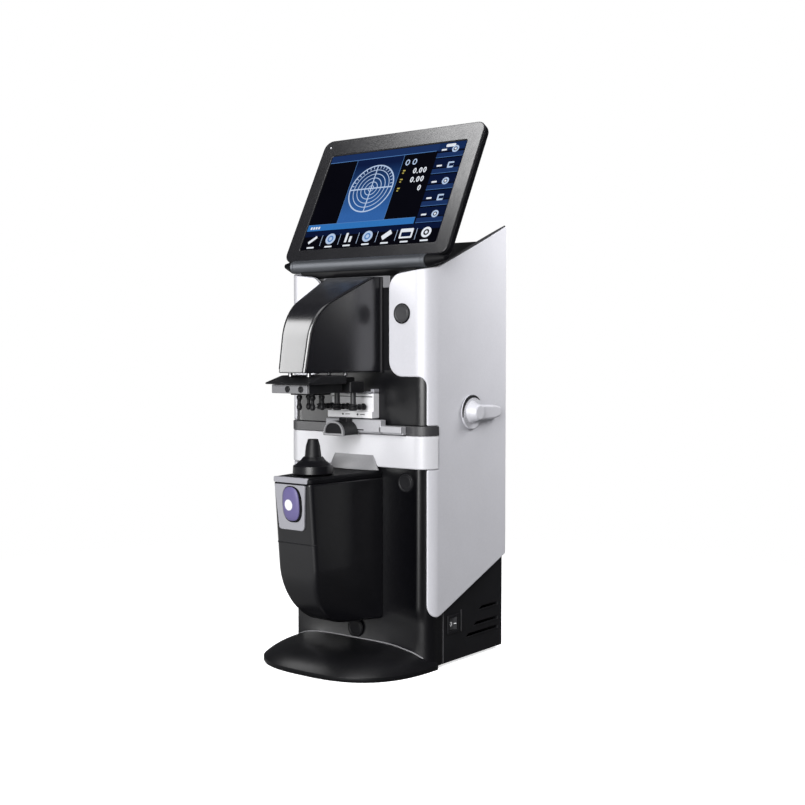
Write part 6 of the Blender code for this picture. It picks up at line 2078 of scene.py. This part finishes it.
@dataclass
class Marker:
    """The marker: a block on two guide rods with three ink pins, and the white ink box behind them."""

    rod_across: float = 0.010
    rod_radius: float = 0.002
    bridge_top: float = 0.014
    ledge: float = 6.4

    def build(self) -> None:
        """Build every piece of the marker."""
        self.block()
        self.pins()
        self.ink_box()

    def block(self) -> None:
        """Lay the marker's block with a raised bridge on it, and stand its rods."""
        box = Box.of("marker_block")
        top = box.low[2] + self.bridge_top
        body = Box(box.low, (box.high[0], box.high[1], top - 0.004))
        bridge = Box((-0.016, box.low[1] + 0.003, top - 0.0042), (0.016, box.high[1] - 0.003, top))
        made = Surface().slab(body, "+Z", 2, 0.8, 0.6).slab(bridge, "+Z", 1.5, 0.8)
        made.piece("marker_bridge", MATTE, "marker_block", body=Body.MARKER)
        foot, tip, radius = top - 0.001, box.high[2], self.rod_radius
        line = [(0, foot), (radius, foot), (radius, tip), (0, tip)]
        rods = Surface()
        for across in (-self.rod_across, self.rod_across):
            rods.turned(line, (0.1, 0.5), (across, box.middle[1], 0), "Z", 24, 3)
        rods.piece("marker_rods", STEEL, body=Body.MARKER)

    def pins(self) -> None:
        """Turn the three ink pins: a grey stem in a black foot with two flared rims, and a pusher behind."""
        push = MM * np.array([(0, 3.0), (1.2, 3.0), (1.2, 5.6), (2.8, 7.8), (2.8, 10.0), (1.1, 11.6),
                              (1.1, 14.1), (3.1, 14.3), (3.1, 15.3), (0, 15.3)])
        for place in ("left", "middle", "right"):
            name = "marker_pin_" + place
            box = Box.of(name)
            wide, high = box.size[0] / 2, box.size[2]
            line = [(0, 0), (0.7 * wide, 0), (wide, 0.0012), (wide, 0.0022), (0.62 * wide, 0.0031),
                    (wide, 0.0041), (wide, 0.0049), (0.6 * wide, 0.0060), (0, 0.0060)]
            centre = np.array([*box.middle[:2], box.low[2]])
            made = Surface().turned(line, (0.5, 0.5, 0.5, 0.6, 0.5, 0.5, 0.4), centre, "Z", 36)
            made.piece("ink_foot_" + place, MATTE, name, body=Body.MARKER)
            line = [(0, 0.0058), (0.0026, 0.0058), (0.0026, high), (0, high)]
            made = Surface().turned(line, (0.2, 0.2), centre, "Z", 28, 3)
            made.piece("ink_stem_" + place, DARK, body=Body.MARKER)
            rounds = (0.1, 0.6, 0.8, 0.8, 0.5, 0.05, 0.05, 0.3)
            made = Surface().turned(push, rounds, centre + (0, 0, 0.003), "Y", 28)
            made.piece("ink_pusher_" + place, MATTE, body=Body.MARKER)

    def ink_box(self) -> None:
        """Lay the ink box: a ledge below, the box above it, a bracket on its corner and small marks."""
        box, step = Box.of("ink_pad_box"), self.ledge
        ledge = box.near("LLL", (0, 0, 0), "HHL", (0, 0, step))
        upper = box.near("LLL", (3, 2.2, step - 0.8), "HHH", (0, 0, 0))
        made = Surface().slab(ledge, "-Y", 0.8, 0.7).slab(upper, "-Y", 1.0, 0.7)
        made.piece("ink_case", CASE, "ink_pad_box")
        marks = Surface().slab(upper.near("LLH", (1, -0.2, -3.4), "HLH", (-1, 1, -2.6)), "-Y", 0.2, 0.1)
        plane, level = Plane((0, box.low[1], 0)), box.low[2] + step * MM - 0.0030
        for across in (-0.008, 0.010):
            hollow = oval((across, level), 0.0011, 0.0009, 20)
            marks.plate([hollow], soft_rim(-0.0002, 0.0004, 0.0001), plane.place)
            dash = tablet((across + 0.003, level - 0.0003), (across + 0.0085, level + 0.0003), 0.0002, 2)
            marks.plate([dash], soft_rim(-0.0001, 0.0004, 0.0001), plane.place)
        marks.piece("ink_case_marks", DARK)
        arm = box.near("HLH", (-14, 3, 0.4), "HHH", (0, 0, 1.8))
        post = box.near("HLH", (-4, 3, -0.2), "HHH", (0, 0, 4.2))
        Surface().slab(arm, "-Y", 0.4, 0.3).slab(post, "-Y", 0.6, 0.4).piece("ink_case_bracket", LIGHT)


@dataclass
class LensTable:
    """The lens table with its groove, and the nose-pad slider that runs in it."""

    groove_height: float = 0.0016
    groove_depth: float = 0.003
    step: float = 0.0385
    step_level: float = 0.2232
    slot: tuple[float, float, float, float] = (0.0075, 0.2183, 0.0184, 0.2195)
    play: float = 0.0004
    tongue_half: float = 0.010
    rim: float = 0.0024

    def build(self) -> None:
        """Build the table, its rod and its slider."""
        self.table()
        self.slider()

    def table(self) -> None:
        """Carry the rebated section across, high on the left and low on the right, and turn the guide rod."""
        box, rod = Box.of("lens_table", "table_rod")
        front, back, bottom = box.low[1], box.high[1], box.low[2]
        high, deep = bottom + self.groove_height, front + self.groove_depth
        made = Surface()
        for low, end, level in ((box.low[0], self.step, box.high[2]),
                                (self.step - 0.002, box.high[0], self.step_level)):
            section = [(deep, bottom), (back, bottom), (back, level), (front, level), (front, high),
                       (deep, high)]
            made.bar(section, (0.5, 0.3, 0.5, 1.2, 0.4, 0.3), low, end, 0.0004)
        made.piece("table_bar", ALUMINIUM, "lens_table", body=Body.TABLE)
        # A near-black sheet just proud of the table's front stands in for a slot: painted shade.
        left, foot, right, top = self.slot
        slot = Box((left, front - 0.00012, foot), (right, front + 0.0004, top))
        Surface().slab(slot, "-Y", 0.5, 0.1).piece("table_slot", SHADE, body=Body.TABLE)
        radius, length = rod.size[0] / 2, rod.size[1]
        line = [(0, 0), (radius, 0), (radius, length), (0, length)]
        made = Surface().turned(line, (0.4, 0.4), (rod.middle[0], rod.low[1], rod.middle[2]), "Y", 24, 3)
        made.piece("table_guide_rod", STEEL, "table_rod", body=Body.TABLE)

    def slider(self) -> None:
        """Lay the slider's arched body, its front rim, the ribs over it and the tongue in the groove."""
        box, table = Box.of("nosepad_slider", "lens_table")
        half, bottom, top = box.high[0], box.low[2], box.high[2]
        back = table.low[1] - self.play
        arch = tablet((-half, bottom), (half, top), [0.0006, 0.0006, half - 0.0003, half - 0.0003], 20)
        start = box.low[1] + 0.0012
        rim = soft_rim(0, back - start, 0.0006, 0.0004) + (0.0004, 0, 0)
        made = Surface().plate([arch], rim, Plane((0, start, 0)).place)
        low = table.low[2] + self.play
        high, wide = low + self.groove_height - 2 * self.play, self.tongue_half
        tongue = Box((-wide, back - 0.001, low), (wide, box.high[1], high))
        knob = Box((-0.0045, back - 0.0085, top - 0.002), (0.0055, back - 0.0001, top + 0.002))
        made.slab(tongue, "+Z", 0.3, 0.2).slab(knob, "+Z", 1.2, 0.6)
        path = arch(0.0004)
        path = path[path[:, 1] > bottom + 0.002]
        for share in np.linspace(0.12, 0.92, 9):
            depth = start + share * (back - start)
            made.tube(np.stack([path[:, 0], 0 * path[:, 0] + depth, path[:, 1]], 1), 0.0004)
        made.piece("slider_body", MATTE, "nosepad_slider", body=Body.SLIDER)
        bend, inside = half - self.rim - 0.0016, half - self.rim
        bends = [bend, bend, 0.0006, 0.0006]
        inner = tablet((-inside, bottom + 0.0022), (inside, top - self.rim), bends, 20, True)
        made = Surface().plate([arch, inner], soft_rim(0, 0.0024, 0.0007), Plane((0, box.low[1], 0)).place)
        made.piece("slider_rim", GREY, body=Body.SLIDER)


@dataclass
class Lever:
    """The side dial and the lever that drives the lens table; the arm's corners are in millimetres."""

    hub: float = 0.0108
    disc: float = 0.0020
    bore: float = 0.0043
    arm_depth: float = 0.0042
    tick_ring: float = 0.0132
    tick_radius: float = 0.0003
    arm: tuple[tuple[float, float], ...] = ((0, -8.0), (34, -7.2), (44, -5.0), (44, 3.6), (34, 5.6), (0, 7.0))
    arm_rounds: tuple[float, ...] = (0.5, 4.0, 4.0, 4.0, 4.0, 0.5)

    def build(self) -> None:
        """Build the dial, its scale, the hub and the arm."""
        dial, lever = Box.of("lever_dial", "table_lever")
        radius, bore, disc, hub = dial.size[2] / 2, self.bore, self.disc, self.hub
        centre = np.array([0.0, *dial.middle[1:]])
        line = [(bore, 0), (radius, 0), (radius, disc - 0.0006), (radius - 0.0006, disc), (bore, disc),
                (bore, 0)]
        made = Surface().turned(line, (0.3, 0.5, 0.5, 0.1), centre + (dial.low[0], 0, 0), "X", 96)
        made.piece("dial_disc", SILVER, "lever_dial", body=Body.LEVER)
        face = dial.low[0] + disc
        self.scale(centre, face, radius)
        rise = lever.high[0] - face - 0.0006
        line = [(0, rise), (0.62 * hub, rise), (0.8 * hub, 0.3 * rise), (hub, -0.0004), (0, -0.0004)]
        made = Surface().turned(line, (1.4, 1.0, 0.2), centre + (face, 0, 0), "X", 64, 6)
        edge = outline(MM * np.array(self.arm), MM * np.array(self.arm_rounds))
        plane = Plane((face + self.arm_depth, *dial.middle[1:]), (0, 1, 0))
        made.plate([edge], soft_rim(0, self.arm_depth - 0.0004, 0.0024, 0.0008), plane.place)
        made.piece("lever_arm", SILVER, "table_lever", body=Body.LEVER)

    def scale(self, centre: Array, face: float, radius: float) -> None:
        """Lay a black crescent on the dial's rim, widest at its middle, as painted shade of its dark wall and
        gap, and print dots along the inside of it.

        Args:
            centre: a point on the dial's axis.
            face: how far out its face is.
            radius: its radius.
        """
        # The crescent covers only the upper-left of the rim: painted shade.
        share = np.linspace(0, 1, 64)
        turn = (radians(44) + share * radians(152))[:, None]
        wide = 0.0003 + 0.0026 * np.sin(pi * share) ** 0.6
        near = radius + 0.0001 - np.stack([0 * wide, 0 * wide, wide, wide], 1)
        across = np.broadcast_to(face + np.array([-0.0008, 0.0001, 0.0001, -0.0008]), near.shape)
        rings = np.stack([across, near * np.cos(turn), near * np.sin(turn)], -1) + centre
        Surface().stack(rings).piece("dial_crescent", TICK_AND_SHADE, body=Body.LEVER)
        dots = Surface()
        plane = Plane((face, *centre[1:]), (0, 1, 0))
        for angle in np.linspace(radians(64), radians(226), 15):
            spot = self.tick_ring * np.array([cos(angle), sin(angle)])
            dot = oval(spot, self.tick_radius, self.tick_radius, 10)
            dots.plate([dot], soft_rim(-0.0001, 0.0003, 0.00005), plane.place)
        dots.piece("dial_dots", TICK_AND_SHADE, body=Body.LEVER)


@dataclass
class Studio:
    """Pale floor, soft lights and the photograph's camera."""

    azimuth: float = radians(37.9)
    elevation: float = radians(2.53)
    location: Triple = (0.7486, -0.9059, 0.2948)
    lens: float = 55.31
    sensor: float = 36.0
    side: float = 3.0
    aim: Triple = (0, 0, 0.27)

    def build(self) -> None:
        """Make the floor, the lights, the world and the camera."""
        self.floor()
        self.lights()
        self.world()
        self.camera()

    def floor(self) -> None:
        """Lay a pale floor that fades into the backdrop away from the machine."""
        side = self.side
        corners = [(-side, -side, 0), (side, -side, 0), (side, side, 0), (-side, side, 0)]
        mesh = bpy.data.meshes.new("studio_floor")
        mesh.from_pydata(corners, [], [(0, 1, 2, 3)])
        floor = bpy.data.objects.new("studio_floor", mesh)
        bpy.context.scene.collection.objects.link(floor)
        mesh.materials.append(self.paper())

    @staticmethod
    def paper() -> bpy.types.Material:
        """Build the floor's paper: bright to the camera and in reflections, and clear far from the middle.

        Returns:
            The material.
        """
        made = bpy.data.materials.new("studio_paper")
        made.use_nodes = True
        graph = Graph(made.node_tree)
        path = graph.add("ShaderNodeLightPath").outputs
        seen, mirrored = path["Is Camera Ray"], path["Is Glossy Ray"]
        place = graph.place()
        reach = graph.vectors("LENGTH", place).outputs["Value"]
        tone = graph.blend(graph.noise(40.0, 3.0), (0.90, 0.90, 0.91, 1.0), (0.93, 0.93, 0.94, 1.0))
        colour = graph.blend(seen, (0.36, 0.36, 0.36, 1.0), tone)
        colour = graph.blend(mirrored, colour, (0.04, 0.04, 0.04, 1.0))
        fade = graph.math("MAXIMUM", graph.span(reach, (0.22, 0.75), 1.0, 0.0), mirrored)
        ahead = graph.vectors("DOT_PRODUCT", place, (-0.5, -0.87, 0.0)).outputs["Value"]
        left = graph.span(ahead, (0.05, 0.4), 0.02, 0.8)
        shine = graph.math("ADD", graph.times(seen, 0.7), graph.times(mirrored, left))
        shader = graph.add("ShaderNodeBsdfPrincipled", {
            "Base Color": colour, "Roughness": 0.8, "Alpha": fade, "Emission Color": (1.0, 1.0, 1.0, 1.0),
            "Emission Strength": shine})
        graph.add("ShaderNodeOutputMaterial", {"Surface": shader.outputs[0]})
        return made

    def lights(self) -> None:
        """Hang soft lights round the machine, and cards that only its glossy surfaces mirror."""
        pale = ("right_side_shell_skin", "left_side_shell_skin", "shelf_band", "ink_case", "shelf_ramp",
                "barrel", "slider_rim", "foot_bead", "shelf_lining")
        panels = ("upper_front_panel_skin", "lower_front_panel_skin")
        self.light("key_card", 19, 0.85, 2.0, (1.1, 1.7), 62)
        self.light("top_card", 20, 1.60, 0.5, (0.9, 0.9), 5)
        self.light("rear_card", 136, 0.50, 0.45, (0.2, 0.2), 2.1, mirrored=False)
        self.light("far_card", -125, 1.0, 2.0, (1.2, 1.2), 40, mirrored=False)
        self.light("front_card", -46, 0.75, 1.94, (1.1, 1.6), 34, pale)
        self.light("hood_card", -52, 0.90, 1.94, (1.15, 1.8), 42, ("head_hood",))
        self.light("side_card", 118, 0.38, 0.32, (0.1, 0.1), 0.05, ("head_hood",), clear=True)
        self.light("pod_card", 123, 0.10, 0.31, (0.08, 0.15), 0.035, ("pod_body",), clear=True)
        self.light("bezel_card", -55, 1.77, 0.89, (0.4, 0.4), 7, ("display_frame",))
        self.light("left_card", -55, 0.25, 0.8, (0.3, 0.4), 2.5, panels)
        self.light("foot_card", -76, 0.95, 0.85, (0.35, 0.35), 1.2, ("foot_tongue",))

    def light(self, name: str, turn: float, rise: float, away: float, size: tuple[float, float], power: float,
              shown_on: tuple[str, ...] = (), mirrored: bool = True, clear: bool = False) -> None:
        """Hang one rectangular light, pointed at the machine's middle.

        Args:
            name: the light's name.
            turn: degrees to the right of the front.
            rise: height above the floor.
            away: distance from the machine's axis.
            size: width and height.
            power: watts.
            shown_on: the only pieces that mirror it, if it is a card that lights nothing.
            mirrored: whether glossy surfaces show it.
            clear: whether only those pieces can stand in its way.
        """
        data = bpy.data.lights.new(name, "AREA")
        data.shape = "RECTANGLE"
        data.size, data.size_y = size
        data.energy = power
        lamp = bpy.data.objects.new(name, data)
        lamp.location = (away * sin(radians(turn)), -away * cos(radians(turn)), rise)
        aim = Vector(self.aim) - lamp.location
        lamp.rotation_euler = aim.to_track_quat("-Z", "Y").to_euler()
        lamp.visible_camera = False
        lamp.visible_diffuse = not shown_on
        lamp.visible_glossy = mirrored
        if shown_on:
            pieces = bpy.data.collections.new(name + "_mirrors")
            for piece in shown_on:
                pieces.objects.link(bpy.data.objects[piece])
            lamp.light_linking.receiver_collection = pieces
            if clear:
                lamp.light_linking.blocker_collection = pieces
        bpy.context.scene.collection.objects.link(lamp)

    def world(self) -> None:
        """Show a near-white backdrop to the camera, and a dark room to everything else."""
        world = bpy.data.worlds.new("studio_world")
        world.use_nodes = True
        graph = Graph(world.node_tree)
        seen = graph.add("ShaderNodeLightPath").outputs["Is Camera Ray"]
        colour = graph.blend(seen, (0.05, 0.05, 0.053, 1.0), (1.0, 1.0, 1.0, 1.0))
        sky = graph.add("ShaderNodeBackground", {"Color": colour, "Strength": 1.0})
        graph.add("ShaderNodeOutputWorld", {"Surface": sky.outputs[0]})
        bpy.context.scene.world = world
        bpy.context.scene.view_settings.view_transform = "Standard"

    def camera(self) -> None:
        """Place the camera at the photograph's angle."""
        data = bpy.data.cameras.new("photo_camera")
        data.sensor_width, data.lens = self.sensor, self.lens
        data.clip_start, data.clip_end = 0.01, 50.0
        camera = bpy.data.objects.new("photo_camera", data)
        turn, rise = self.azimuth, self.elevation
        back = Vector((sin(turn) * cos(rise), -cos(turn) * cos(rise), sin(rise)))
        camera.location = self.location
        camera.rotation_euler = (-back).to_track_quat("-Z", "Y").to_euler()
        bpy.context.scene.collection.objects.link(camera)
        bpy.context.scene.camera = camera


def dress_nodes() -> None:
    """Give every CAD node that still shows its finish."""
    plain = (SILVER, WHITE, GLOSS, MATTE, DARK, LIGHT, BARREL, ALUMINIUM, STEEL, BRASS, RUBBER, PURPLE,
             SCREEN, BOARD, OPTIC)
    finishes = {finish.slot: finish for finish in plain}
    for name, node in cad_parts.items():
        if node.hide_render:
            continue
        slot = node.data.materials[0].name.split(".")[0] if node.data.materials else MATTE.slot
        node.data.materials.clear()
        node.data.materials.append(finishes.get(slot, MATTE).material())
        log.info("%s keeps its solid, %s", name, slot)


def main() -> None:
    """Build every sub-assembly in order, then the studio round it."""
    logging.basicConfig(level=logging.INFO, format="%(message)s")
    for assembly in (Tower, Foot, Base, Head, Pod, Display, Holder, Marker, LensTable, Lever):
        assembly().build()
    dress_nodes()
    Studio().build()
    bpy.context.view_layer.update()


if __name__ == "__main__":
    main()
